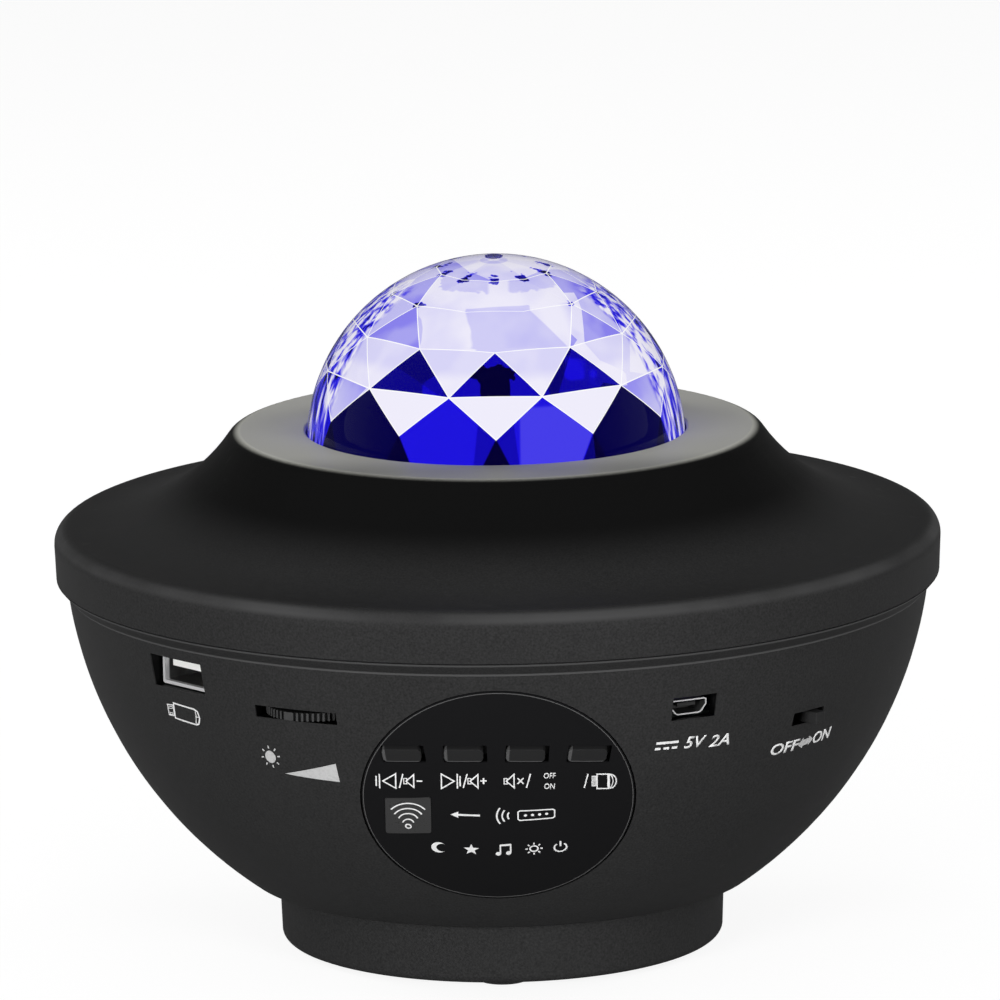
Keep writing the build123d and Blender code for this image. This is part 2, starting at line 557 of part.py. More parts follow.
with BuildPart() as bowl_shell:
    inner_floor_z = JOIN_Z + WALL
    middle_z = (JOIN_Z + LIP_Z) / 2
    with BuildSketch(Plane.XZ):
        with BuildLine():
            Line((FLOOR_HOLE_R, JOIN_Z), (BOWL_BASE_R, JOIN_Z))
            ThreePointArc((BOWL_BASE_R, JOIN_Z), (bowl_r(middle_z), middle_z), (BOWL_TOP_R, LIP_Z))
            Polyline((BOWL_TOP_R, LIP_Z), (LIP_R, PART_Z), (SPIGOT_R, PART_Z))
            Line((SPIGOT_R, PART_Z), (SPIGOT_R, PART_Z + SPIGOT_HEIGHT))
            Polyline(
                (SPIGOT_R, PART_Z + SPIGOT_HEIGHT),
                (SPIGOT_R - SPIGOT_WALL, PART_Z + SPIGOT_HEIGHT),
                (bowl_r(PART_Z, WALL), PART_Z),
            )
            inner_floor_r = bowl_r(inner_floor_z, WALL)
            ThreePointArc(
                (bowl_r(PART_Z, WALL), PART_Z),
                (bowl_r(middle_z, WALL), middle_z),
                (inner_floor_r, inner_floor_z),
            )
            Polyline((inner_floor_r, inner_floor_z), (FLOOR_HOLE_R, inner_floor_z), (FLOOR_HOLE_R, JOIN_Z))
        make_face()
    revolve(axis=Axis.Z)
    fillet(
        bowl_shell.edges().filter_by(GeomType.CIRCLE).group_by(Axis.Z)[0].sort_by(SortBy.RADIUS)[-1],
        BOWL_CORNER,
    )
    # towers for the long screws, bosses for the foot's screws, posts for the main board
    with BuildSketch(Plane.XY.offset(JOIN_Z + 1.0)):
        with Locations(*ring_points(TOWER_CIRCLE_R, CORNERS)):
            Circle(TOWER_R)
    extrude(amount=CHASSIS_Z - JOIN_Z - 1.0)
    with BuildSketch(Plane.XY.offset(inner_floor_z)):
        with Locations(*ring_points(BASE_POST_CIRCLE_R, CORNERS)):
            Circle(BASE_SCREW[0] + BOSS_WALL)
    extrude(amount=BASE_SCREW[1] - 2 * WALL + 2.0)
    with BuildSketch(Plane.XY.offset(inner_floor_z)):
        with Locations(*ring_points(MAIN_BOARD_POST_R, SIDES)):
            Circle(SMALL_SCREW[0] + BOSS_WALL)
    extrude(amount=MAIN_BOARD_Z - inner_floor_z)
    # ledges and gussets that carry the small boards
    for angle, board_z in PORT_BOARDS.values():
        slab_z = board_z - BOARD_T
        edge = board_edge(slab_z)
        reach = bowl_r(slab_z - LEDGE_T, WALL / 2) - 1.0
        with BuildSketch(level_plane(angle, slab_z)):
            with Locations((0, -(edge - PORT_BOARD_DEPTH + reach) / 2)):
                Rectangle(PORT_BOARD_W, reach - edge + PORT_BOARD_DEPTH)
        extrude(amount=-LEDGE_T)
        for side in (-1, 1):
            rib_x = side * (PORT_BOARD_W / 2 - WALL / 2)
            rib_plane = Plane(
                origin=sideways(angle) * rib_x + Vector(0, 0, slab_z - LEDGE_T),
                x_dir=outward(angle),
                z_dir=sideways(angle) * -1,
            )
            with BuildSketch(rib_plane):
                with BuildLine():
                    low_z = slab_z - LEDGE_T - PORT_BOARD_DEPTH * 0.7
                    Polyline(
                        (edge - PORT_BOARD_DEPTH, 0),
                        (bowl_r(slab_z - LEDGE_T, WALL / 2) - 1.0, 0),
                        (bowl_r(low_z, WALL / 2) - 1.0, low_z - slab_z + LEDGE_T),
                        close=True,
                    )
                make_face()
            extrude(amount=WALL / 4, both=True)
        with BuildSketch(level_plane(angle, slab_z)):
            with Locations(*port_screw_points(edge)):
                Circle(SMALL_SCREW[0] + BOSS_WALL)
        extrude(amount=-SMALL_SCREW[1])
    # posts behind the panel and bosses behind the slide switch
    with BuildSketch(PANEL.offset(-PANEL_BOARD_DEPTH)):
        with Locations(*[(x, 0) for x in PANEL_POST_X]):
            Circle(SMALL_SCREW[0] + BOSS_WALL)
    extrude(amount=PANEL_BOARD_DEPTH - WALL / 2)
    with BuildSketch(SLIDE_FACE.offset(-SLIDE_PLATE_DEPTH)):
        with Locations((-SLIDE_SCREW_X, 0), (SLIDE_SCREW_X, 0)):
            Circle(SMALL_SCREW[0] + 1.2)
    extrude(amount=SLIDE_PLATE_DEPTH - WALL / 2 - 0.5)
    # ---- holes
    with BuildSketch(Plane.XY):
        with Locations(*ring_points(TOWER_CIRCLE_R, CORNERS)):
            Circle(LONG_SCREW[2] + SCREW_PLAY)
    extrude(amount=TOWER_SEAT_Z, mode=Mode.SUBTRACT)
    with BuildSketch(Plane.XY):
        with Locations(*ring_points(TOWER_CIRCLE_R, CORNERS)):
            Circle(LONG_SCREW[0] + SCREW_PLAY)
    extrude(amount=CHASSIS_Z + 1, mode=Mode.SUBTRACT)
    with BuildSketch(Plane.XY):
        with Locations(*ring_points(BASE_POST_CIRCLE_R, CORNERS)):
            Circle(BASE_SCREW[0] + THREAD_FIT)
    extrude(amount=JOIN_Z - WALL + BASE_SCREW[1] + 0.4, mode=Mode.SUBTRACT)
    with BuildSketch(Plane.XY.offset(MAIN_BOARD_Z)):
        with Locations(*ring_points(MAIN_BOARD_POST_R, SIDES)):
            Circle(SMALL_SCREW[0] + THREAD_FIT)
    extrude(amount=-SMALL_SCREW[1], mode=Mode.SUBTRACT)
    for angle, board_z in PORT_BOARDS.values():
        edge = board_edge(board_z - BOARD_T)
        with BuildSketch(level_plane(angle, board_z)):
            with Locations(*port_screw_points(edge)):
                Circle(SMALL_SCREW[0] + THREAD_FIT)
        extrude(amount=-SMALL_SCREW[1] - 0.4, mode=Mode.SUBTRACT)
    with BuildSketch(PANEL.offset(-PANEL_BOARD_DEPTH)):
        with Locations(*[(x, 0) for x in PANEL_POST_X]):
            Circle(SMALL_SCREW[0] + THREAD_FIT)
    extrude(amount=SMALL_SCREW[1], mode=Mode.SUBTRACT)
    with BuildSketch(SLIDE_FACE.offset(-SLIDE_PLATE_DEPTH)):
        with Locations((-SLIDE_SCREW_X, 0), (SLIDE_SCREW_X, 0)):
            Circle(SMALL_SCREW[0] + THREAD_FIT)
    extrude(amount=2.6, mode=Mode.SUBTRACT)
    # openings for the sockets, the wheel, the switch, the buttons and the window
    with BuildSketch(USB_FACE):
        Rectangle(USB_W + 2 * USB_CUT_GAP_X, USB_H + 2 * USB_CUT_GAP_Z)
    extrude(amount=WALL + 4, both=True, mode=Mode.SUBTRACT)
    with BuildSketch(MICRO_FACE):
        with Locations((0, MICRO_CUT_RISE)):
            Rectangle(MICRO_W + 2 * MICRO_CUT_GAP_X, MICRO_H + 2 * MICRO_CUT_GAP_Z)
    extrude(amount=WALL + 4, both=True, mode=Mode.SUBTRACT)
    with BuildSketch(WHEEL_FACE):
        Rectangle(WHEEL_SLOT_W, WHEEL_T + 2 * WHEEL_SLOT_GAP)
    extrude(amount=WALL + 4, both=True, mode=Mode.SUBTRACT)
    with BuildSketch(SLIDE_FACE):
        with Locations((0, SLIDE_SLOT_RISE)):
            Rectangle(SLIDE_SLOT_W, SLIDE_SLOT_H)
    extrude(amount=WALL + 1, both=True, mode=Mode.SUBTRACT)
    with BuildSketch(PANEL):
        with Locations(*BUTTON_SPOTS):
            RectangleRounded(BUTTON_HOLE_W, BUTTON_HOLE_H, BUTTON_HOLE_CORNER)
        add(leaning_window(WINDOW_STEP, 0.4))
    extrude(amount=12, both=True, mode=Mode.SUBTRACT)
    add(panel_cut.part, mode=Mode.SUBTRACT)
    add(window_cut.part, mode=Mode.SUBTRACT)
bowl_shell.part.label = "bowl_shell"
export_step(bowl_shell.part, "parts/bowl_shell.step")

with BuildPart() as top_cover:
    inner_r = RIM_R - WALL
    half_out = (FLARE_X + LEDGE_R) / 2
    under_z = LEDGE_Z - WALL
    inner_ledge_r = FLARE_X - sqrt((FLARE_ARC_R + WALL)**2 - (FLARE_ARC_Z - under_z)**2)
    half_in = (inner_r + inner_ledge_r) / 2
    with BuildSketch(Plane.XZ):
        with BuildLine():
            Line((DOME_HOLE_R, LEDGE_Z), (LEDGE_R, LEDGE_Z))
            ThreePointArc((LEDGE_R, LEDGE_Z), (half_out, flare_z(half_out)), (FLARE_X, RIM_TOP_Z))
            Polyline((FLARE_X, RIM_TOP_Z), (RIM_R, RIM_TOP_Z), (LIP_R, PART_Z + PART_GAP))
            Line((LIP_R, PART_Z + PART_GAP), (inner_r, PART_Z + PART_GAP))
            inner_rim_z = flare_z(inner_r, WALL)
            Line((inner_r, PART_Z + PART_GAP), (inner_r, inner_rim_z))
            ThreePointArc((inner_r, inner_rim_z), (half_in, flare_z(half_in, WALL)), (inner_ledge_r, under_z))
            Polyline((inner_ledge_r, under_z), (DOME_HOLE_R, under_z), (DOME_HOLE_R, LEDGE_Z))
        make_face()
    revolve(axis=Axis.Z)
    ledge_edges = top_cover.edges().filter_by(GeomType.CIRCLE).group_by(Axis.Z)[-1].sort_by(SortBy.RADIUS)
    fillet(ledge_edges[-1], LEDGE_EDGE)
    rim_edges = top_cover.edges().filter_by(GeomType.CIRCLE)
    rim_edges = rim_edges.filter_by_position(Axis.Z, RIM_TOP_Z - 0.01, RIM_TOP_Z + 0.01)
    fillet(rim_edges.sort_by(SortBy.RADIUS)[-1], BAND_EDGE)
    hole_edges = top_cover.edges().filter_by(GeomType.CIRCLE).group_by(Axis.Z)[-1].sort_by(SortBy.RADIUS)
    fillet(hole_edges[0], 0.5)
    # posts that meet the bowl's towers, and bosses for the dome ring
    with BuildSketch(Plane.XY.offset(CHASSIS_TOP_Z)):
        with Locations(*ring_points(TOWER_CIRCLE_R, CORNERS)):
            Circle(TOWER_R)
    extrude(amount=under_z - CHASSIS_TOP_Z + 0.4)
    with BuildSketch(Plane.XY.offset(FLANGE_TOP_Z - DOME_FLANGE_T)):
        with Locations(*ring_points(DOME_EAR_R, SIDES)):
            Circle(DOME_BOSS_R)
    extrude(amount=DOME_FLANGE_T + 0.4)
    with BuildSketch(Plane.XY.offset(CHASSIS_TOP_Z)):
        with Locations(*ring_points(TOWER_CIRCLE_R, CORNERS)):
            Circle(LONG_SCREW[0] + THREAD_FIT)
    extrude(amount=LONG_SCREW[1], mode=Mode.SUBTRACT)
    with BuildSketch(Plane.XY.offset(FLANGE_TOP_Z - DOME_FLANGE_T)):
        with Locations(*ring_points(DOME_EAR_R, SIDES)):
            Circle(SMALL_SCREW[0] + THREAD_FIT)
    extrude(amount=SMALL_SCREW[1] - DOME_RING_T + 0.4, mode=Mode.SUBTRACT)
top_cover.part.label = "top_cover"
export_step(top_cover.part, "parts/top_cover.step")

with BuildPart() as cover_screws:
    with Locations(*upside_down(ring_points(TOWER_CIRCLE_R, CORNERS), TOWER_SEAT_Z)):
        add(screw(LONG_SCREW))
cover_screws.part.label = "cover_screws"
export_step(cover_screws.part, "parts/cover_screws.step")

# ================================================================ dome
FLANGE_Z = FLANGE_TOP_Z - DOME_FLANGE_T


def facet_ring(latitude, shift):
    """One ring of the inner facets' corners; every other ring is turned by half a step."""
    radius = FACET_R * cos(radians(latitude))
    height = DOME_Z + FACET_R * sin(radians(latitude))
    step = 360 / FACET_COUNT
    turns = [radians(-90 + step * (i + shift)) for i in range(FACET_COUNT)]
    return [Vector(radius * cos(t), radius * sin(t), height) for t in turns]


def facet_core():
    """Hollow of the dome: flat five-sided panels at the base and rows of triangles above them."""
    rings = [facet_ring(latitude, 0.5 * (i % 2)) for i, latitude in enumerate(FACET_LATITUDES)]
    middle = cos(radians(180 / FACET_COUNT))
    low, high = rings[0][0], rings[1][0]
    low_r = sqrt(low.X**2 + low.Y**2) * middle
    high_r = sqrt(high.X**2 + high.Y**2)
    bottom_z = FLANGE_Z - 1.0
    bottom_r = low_r + (low_r - high_r) / (high.Z - low.Z) * (low.Z - bottom_z)
    bottom = [Vector(v.X, v.Y, 0) * (bottom_r / low_r) + Vector(0, 0, bottom_z) for v in rings[0]]
    crown = Vector(0, 0, DOME_Z + FACET_R)
    faces = [Face(Wire.make_polygon(bottom))]
    for i in range(FACET_COUNT):
        j = (i + 1) % FACET_COUNT
        corners = [bottom[i], bottom[j], rings[0][j], rings[1][i], rings[0][i]]
        faces.append(Face(Wire.make_polygon(corners)))
        faces.append(Face(Wire.make_polygon([rings[0][j], rings[1][j], rings[1][i]])))
        faces.append(Face(Wire.make_polygon([rings[-1][i], rings[-1][j], crown])))
    for row in range(1, len(rings) - 1):
        below, above = rings[row], rings[row + 1]
        for i in range(FACET_COUNT):
            j = (i + 1) % FACET_COUNT
            # odd rows are turned by half a step, so their corners pair differently with the next row's
            tip = above[j] if row % 2 else above[i]
            follow = above[i] if row % 2 else above[i - 1]
            faces.append(Face(Wire.make_polygon([below[i], below[j], tip])))
            faces.append(Face(Wire.make_polygon([below[i], tip, follow])))
    return Solid(Shell(faces))


with BuildPart() as crystal_dome:
    with BuildSketch(Plane.XZ):
        with BuildLine():
            start_r = sqrt(DOME_R**2 - (FLANGE_TOP_Z - DOME_Z)**2)
            side_point = (DOME_R * cos(radians(50)), DOME_Z + DOME_R * sin(radians(50)))
            crown_z = DOME_Z + sqrt(DOME_R**2 - GATE_R**2)
            gate_z = DOME_Z + DOME_R + GATE_HEIGHT
            Polyline((0, FLANGE_Z), (DOME_FLANGE_R, FLANGE_Z), (DOME_FLANGE_R, FLANGE_TOP_Z))
            Line((DOME_FLANGE_R, FLANGE_TOP_Z), (start_r, FLANGE_TOP_Z))
            ThreePointArc((start_r, FLANGE_TOP_Z), side_point, (GATE_R, crown_z))
            Polyline((GATE_R, crown_z), (GATE_R, gate_z), (0, gate_z), (0, FLANGE_Z))
        make_face()
    revolve(axis=Axis.Z)
    add(facet_core(), mode=Mode.SUBTRACT)
crystal_dome.part.label = "crystal_dome"
export_step(crystal_dome.part, "parts/crystal_dome.step")

with BuildPart() as dome_ring:
    with BuildSketch(Plane.XY.offset(FLANGE_Z - DOME_RING_T)):
        Circle(DOME_FLANGE_R + 1.0)
        with Locations(*ring_points(DOME_EAR_R, SIDES)):
            Circle(DOME_BOSS_R)
        for angle in (0, 90):
            Rectangle(2 * DOME_EAR_R, 2 * DOME_BOSS_R, rotation=angle)
        Circle(DOME_FLANGE_R - 4.6, mode=Mode.SUBTRACT)
        with Locations(*ring_points(DOME_EAR_R, SIDES)):
            Circle(SMALL_SCREW[0] + SCREW_PLAY, mode=Mode.SUBTRACT)
    extrude(amount=DOME_RING_T)
dome_ring.part.label = "dome_ring"
export_step(dome_ring.part, "parts/dome_ring.step")

with BuildPart() as dome_screws:
    with Locations(*upside_down(ring_points(DOME_EAR_R, SIDES), FLANGE_Z - DOME_RING_T)):
        add(screw(SMALL_SCREW))
dome_screws.part.label = "dome_screws"
export_step(dome_screws.part, "parts/dome_screws.step")

# ================================================================ lamp
with BuildPart() as lamp_chassis:
    with BuildSketch(Plane.XY.offset(CHASSIS_Z)):
        Circle(CHASSIS_R)
        with Locations(*ring_points(TOWER_CIRCLE_R, CORNERS)):
            Circle(TOWER_R)
        for angle in (45, 135):
            Rectangle(2 * TOWER_CIRCLE_R, 2 * TOWER_R, rotation=angle)
        with Locations((0, GEAR_CENTRE_Y)):
            Circle(MOTOR_R + 1.0 + TURRET_WALL + 1.5)
    extrude(amount=CHASSIS_T)
    with BuildSketch(Plane.XY.offset(CHASSIS_TOP_Z)):
        with Locations((0, GEAR_CENTRE_Y)):
            Circle(MOTOR_R + 1.0 + TURRET_WALL)
    extrude(amount=TURRET_H)
    with BuildSketch(Plane.XY.offset(CHASSIS_Z)):
        with Locations((0, GEAR_CENTRE_Y)):
            Circle(MOTOR_R + 1.0)
    extrude(amount=GEARBOX_TOP_Z - CHASSIS_Z, mode=Mode.SUBTRACT)
    with BuildSketch(Plane.XY.offset(CHASSIS_Z)):
        Circle(SINK_WINDOW_R)
        with Locations((0, LASER_Y)):
            Circle(LASER_R + 0.3)
        with Locations(*ring_points(TOWER_CIRCLE_R, CORNERS)):
            Circle(LONG_SCREW[0] + SCREW_PLAY)
        with Locations((-LASER_COLLAR_R - 2.2, LASER_Y), (LASER_COLLAR_R + 2.2, LASER_Y)):
            Circle(SMALL_SCREW[0] + THREAD_FIT)
        with Locations((0, GEAR_CENTRE_Y)):
            Circle(MOTOR_SHAFT_R + 1.0)
        with Locations((-MOTOR_SCREW_X, GEAR_CENTRE_Y), (MOTOR_SCREW_X, GEAR_CENTRE_Y)):
            Circle(SMALL_SCREW[0] + SCREW_PLAY)
    extrude(amount=TURRET_TOP_Z - CHASSIS_Z + 1, mode=Mode.SUBTRACT)
lamp_chassis.part.label = "lamp_chassis"
export_step(lamp_chassis.part, "parts/lamp_chassis.step")

with BuildPart() as heat_sink:
    with BuildSketch(Plane.XY.offset(CHASSIS_TOP_Z)):
        Circle(SINK_R)
    extrude(amount=SINK_T)
    with BuildSketch(Plane.XY.offset(CHASSIS_TOP_Z)):
        with GridLocations((2 * SINK_WINDOW_R - 4) / (FIN_COUNT - 1), 1, FIN_COUNT, 1):
            Rectangle(FIN_T, 2 * SINK_WINDOW_R)
        Circle(PIN_COLLAR_R + 1.4)
        Circle(SINK_WINDOW_R - 0.3, mode=Mode.INTERSECT)
    extrude(amount=-SINK_DEPTH)
    with BuildSketch(Plane.XY.offset(CHASSIS_TOP_Z - SINK_DEPTH)):
        Circle(PIN_R)
    extrude(amount=SINK_DEPTH + SINK_T, mode=Mode.SUBTRACT)
heat_sink.part.label = "heat_sink"
export_step(heat_sink.part, "parts/heat_sink.step")

LED_POINTS = ring_points(LED_CIRCLE_R, CORNERS)

with BuildPart() as led_board:
    with BuildSketch(Plane.XY.offset(SINK_TOP_Z)):
        Circle(SINK_R)
        Circle(PIN_COLLAR_R + 0.3, mode=Mode.SUBTRACT)
    extrude(amount=LED_BOARD_T)
led_board.part.label = "led_board"
export_step(led_board.part, "parts/led_board.step")

with BuildPart() as led_emitters:
    with BuildSketch(Plane.XY.offset(LED_TOP_Z)):
        with Locations(*LED_POINTS):
            Rectangle(LED_SIZE, LED_SIZE)
    extrude(amount=0.8)
    with Locations(*[(x, y, LED_TOP_Z + 0.8) for x, y in LED_POINTS]):
        Cylinder(1.3, 0.5, align=(Align.CENTER, Align.CENTER, Align.MIN))
led_emitters.part.label = "led_emitters"
export_step(led_emitters.part, "parts/led_emitters.step")

with BuildPart() as one_lens:
    with BuildSketch(Plane.XZ):
        with BuildLine():
            Polyline((0, 2.0), (2.0, 1.8), (2.6, 0), (LENS_FOOT_R, 0))
            Line((LENS_FOOT_R, 0), (LENS_R, LENS_HEIGHT - 1.4))
            Line((LENS_R, LENS_HEIGHT - 1.4), (LENS_R, LENS_HEIGHT - 0.8))
            cap_x, cap_z = cap_middle(LENS_R, 0.8)
            ThreePointArc((LENS_R, LENS_HEIGHT - 0.8), (cap_x, LENS_HEIGHT - 0.8 + cap_z), (0, LENS_HEIGHT))
            Line((0, LENS_HEIGHT), (0, 2.0))
        make_face()
    revolve(axis=Axis.Z)

with BuildPart() as led_lenses:
    with Locations(*[(x, y, LED_TOP_Z) for x, y in LED_POINTS]):
        add(one_lens.part)
led_lenses.part.label = "led_lenses"
export_step(led_lenses.part, "parts/led_lenses.step")

with BuildPart() as axle_pin:
    pin_base = CHASSIS_TOP_Z - SINK_DEPTH + 1
    collar_top = DISC_HUB_Z - FACE_GAP
    pin_top = DISC_HUB_Z + HUB_LENGTH + 1.6
    with BuildSketch(Plane.XZ):
        with BuildLine():
            Polyline((0, pin_base), (PIN_R, pin_base), (PIN_R, SINK_TOP_Z), (PIN_COLLAR_R, SINK_TOP_Z))
            Polyline((PIN_COLLAR_R, SINK_TOP_Z), (PIN_COLLAR_R, collar_top), (PIN_R, collar_top))
            Polyline((PIN_R, collar_top), (PIN_R, pin_top - 0.4), (PIN_R - 0.4, pin_top), (0, pin_top))
            Line((0, pin_top), (0, pin_base))
        make_face()
    revolve(axis=Axis.Z)
axle_pin.part.label = "axle_pin"
export_step(axle_pin.part, "parts/axle_pin.step")

with BuildPart() as axle_clip:
    with BuildSketch(Plane.XY.offset(DISC_HUB_Z + HUB_LENGTH + FACE_GAP)):
        Circle(PIN_R + 1.6)
        Circle(PIN_R, mode=Mode.SUBTRACT)
        with Locations((0, -PIN_R - 1)):
            Rectangle(1.4, 3, mode=Mode.SUBTRACT)
    extrude(amount=0.6)
axle_clip.part.label = "axle_clip"
export_step(axle_clip.part, "parts/axle_clip.step")

with BuildPart() as ripple_disc:
    with BuildSketch(Plane.XY.offset(DISC_Z - (GEAR_T - DISC_T) / 2)):
        Polygon(*toothed_outline(DISC_TEETH, GEAR_BACKLASH), align=None)
        Circle(GEAR_MODULE * DISC_TEETH / 2 - 3.2, mode=Mode.SUBTRACT)
    extrude(amount=GEAR_T)
    with BuildSketch(Plane.XY.offset(DISC_Z)):
        Circle(GEAR_MODULE * DISC_TEETH / 2 - 3.0)
    extrude(amount=DISC_T)
    with BuildSketch(Plane.XY.offset(DISC_HUB_Z)):
        Circle(HUB_R)
    extrude(amount=HUB_LENGTH)
    with BuildSketch(Plane.XY.offset(DISC_HUB_Z)):
        Circle(PIN_R + RUN_GAP)
    extrude(amount=HUB_LENGTH, mode=Mode.SUBTRACT)
ripple_disc.part.label = "ripple_disc"
export_step(ripple_disc.part, "parts/ripple_disc.step")

PINION_Z = DISC_Z + DISC_T / 2 - GEAR_T / 2 - 0.2

with BuildPart() as motor_pinion:
    with BuildSketch(Plane.XY.offset(PINION_Z)):
        with Locations(Location((0, GEAR_CENTRE_Y, 0), (0, 0, -90 + 180 / PINION_TEETH))):
            Polygon(*toothed_outline(PINION_TEETH, GEAR_BACKLASH), align=None)
        with Locations((0, GEAR_CENTRE_Y)):
            Circle(MOTOR_SHAFT_R, mode=Mode.SUBTRACT)
    extrude(amount=GEAR_T + 0.4)
motor_pinion.part.label = "motor_pinion"
export_step(motor_pinion.part, "parts/motor_pinion.step")

with BuildPart() as motor_shaft:
    with BuildSketch(Plane.XY.offset(GEARBOX_TOP_Z - 4.0)):
        with Locations((0, GEAR_CENTRE_Y)):
            Circle(MOTOR_SHAFT_R)
    extrude(amount=PINION_Z + GEAR_T + 0.4 - GEARBOX_TOP_Z + 4.0)
motor_shaft.part.label = "motor_shaft"
export_step(motor_shaft.part, "parts/motor_shaft.step")

with BuildPart() as motor_gearbox:
    with BuildSketch(Plane.XY.offset(GEARBOX_TOP_Z - GEARBOX_H)):
        with Locations((0, GEAR_CENTRE_Y)):
            Circle(MOTOR_R)
    extrude(amount=GEARBOX_H)
    with BuildSketch(Plane.XY.offset(GEARBOX_TOP_Z)):
        with Locations((0, GEAR_CENTRE_Y)):
            Circle(MOTOR_SHAFT_R + RUN_GAP)
    extrude(amount=-4.0 - 0.5, mode=Mode.SUBTRACT)
    with BuildSketch(Plane.XY.offset(GEARBOX_TOP_Z)):
        with Locations((-MOTOR_SCREW_X, GEAR_CENTRE_Y), (MOTOR_SCREW_X, GEAR_CENTRE_Y)):
            Circle(SMALL_SCREW[0] + THREAD_FIT)
    extrude(amount=-SMALL_SCREW[1] + TURRET_WALL - 0.4, mode=Mode.SUBTRACT)
motor_gearbox.part.label = "motor_gearbox"
export_step(motor_gearbox.part, "parts/motor_gearbox.step")

with BuildPart() as motor_can:
    can_top = GEARBOX_TOP_Z - GEARBOX_H
    with BuildSketch(Plane.XY.offset(can_top - MOTOR_CAN_H)):
        with Locations((0, GEAR_CENTRE_Y)):
            Circle(MOTOR_R - 0.4)
    extrude(amount=MOTOR_CAN_H)
    fillet(motor_can.edges().group_by(Axis.Z)[0], 1.0)
    with Locations((0, GEAR_CENTRE_Y, can_top - MOTOR_CAN_H)):
        Cylinder(2.4, 1.2, align=(Align.CENTER, Align.CENTER, Align.MAX))
motor_can.part.label = "motor_can"
export_step(motor_can.part, "parts/motor_can.step")

with BuildPart() as motor_screws:
    with Locations(*[(side * MOTOR_SCREW_X, GEAR_CENTRE_Y, TURRET_TOP_Z) for side in (-1, 1)]):
        add(screw(SMALL_SCREW))
motor_screws.part.label = "motor_screws"
export_step(motor_screws.part, "parts/motor_screws.step")

with BuildPart() as laser_module:
    laser_base_z = CHASSIS_TOP_Z + 8.0 - LASER_LENGTH
    with BuildSketch(Plane.XY.offset(laser_base_z)):
        with Locations((0, LASER_Y)):
            Circle(LASER_R)
    extrude(amount=LASER_LENGTH)
    chamfer(laser_module.edges().group_by(Axis.Z)[-1], 0.4)
    with BuildSketch(Plane.XY.offset(laser_base_z + LASER_LENGTH)):
        with Locations((0, LASER_Y)):
            Circle(3.0)
    extrude(amount=-0.5, mode=Mode.SUBTRACT)
laser_module.part.label = "laser_module"
export_step(laser_module.part, "parts/laser_module.step")

with BuildPart() as laser_grating:
    with BuildSketch(Plane.XY.offset(laser_base_z + LASER_LENGTH - 0.5)):
        with Locations((0, LASER_Y)):
            Circle(2.9)
    extrude(amount=0.7)
laser_grating.part.label = "laser_grating"
export_step(laser_grating.part, "parts/laser_grating.step")

with BuildPart() as laser_holder:
    with BuildSketch(Plane.XY.offset(CHASSIS_TOP_Z)):
        with Locations((0, LASER_Y)):
            SlotCenterToCenter(2 * (LASER_COLLAR_R + 2.2), 5.6)
            Circle(LASER_COLLAR_R)
            Circle(LASER_R, mode=Mode.SUBTRACT)
        with Locations((-LASER_COLLAR_R - 2.2, LASER_Y), (LASER_COLLAR_R + 2.2, LASER_Y)):
            Circle(SMALL_SCREW[0] + SCREW_PLAY, mode=Mode.SUBTRACT)
    extrude(amount=1.6)
    with BuildSketch(Plane.XY.offset(CHASSIS_TOP_Z)):
        with Locations((0, LASER_Y)):
            Circle(LASER_COLLAR_R)
            Circle(LASER_R, mode=Mode.SUBTRACT)
    extrude(amount=6.0)
laser_holder.part.label = "laser_holder"
export_step(laser_holder.part, "parts/laser_holder.step")

with BuildPart() as holder_screws:
    with Locations(
        (-LASER_COLLAR_R - 2.2, LASER_Y, CHASSIS_TOP_Z + 1.6),
        (LASER_COLLAR_R + 2.2, LASER_Y, CHASSIS_TOP_Z + 1.6),
    ):
        add(screw(SMALL_SCREW))
holder_screws.part.label = "holder_screws"
export_step(holder_screws.part, "parts/holder_screws.step")

# ================================================================ loudspeaker
SPEAKER_Z = FOOT_FLOOR_Z + SPEAKER_SEAT_H
FLANGE_BACK_Z = SPEAKER_Z + SPEAKER_FLANGE_T
PLATE_Z = SPEAKER_Z + SPEAKER_DEPTH - PLATE_T
GAP_OUT_R = COIL_R + 0.6

with BuildPart() as speaker_basket:
    plate_top = PLATE_Z + PLATE_T
    with BuildSketch(Plane.XZ):
        with BuildLine():
            Polyline((SPEAKER_R - 3.0, SPEAKER_Z), (SPEAKER_R, SPEAKER_Z), (SPEAKER_R, FLANGE_BACK_Z))
            Polyline((SPEAKER_R, FLANGE_BACK_Z), (SPEAKER_R - 1.6, FLANGE_BACK_Z), (MAGNET_R - 1.0, PLATE_Z))
            Polyline((MAGNET_R - 1.0, PLATE_Z), (MAGNET_R - 1.0, plate_top), (GAP_OUT_R, plate_top))
            Polyline((GAP_OUT_R, plate_top), (GAP_OUT_R, PLATE_Z - 0.4), (MAGNET_R - 2.6, PLATE_Z - 0.4))
            Line((MAGNET_R - 2.6, PLATE_Z - 0.4), (SPEAKER_R - 3.0, SPEAKER_Z + 1.0))
            Line((SPEAKER_R - 3.0, SPEAKER_Z + 1.0), (SPEAKER_R - 3.0, SPEAKER_Z))
        make_face()
    revolve(axis=Axis.Z)
    # windows in the basket's wall
    with BuildSketch(Plane.XY.offset(FLANGE_BACK_Z + 2.0)):
        with PolarLocations((MAGNET_R + SPEAKER_R) / 2, 4, start_angle=45):
            Rectangle(14, 9, rotation=90)
    extrude(amount=PLATE_Z - FLANGE_BACK_Z - 4.0, mode=Mode.SUBTRACT)
speaker_basket.part.label = "speaker_basket"
export_step(speaker_basket.part, "parts/speaker_basket.step")

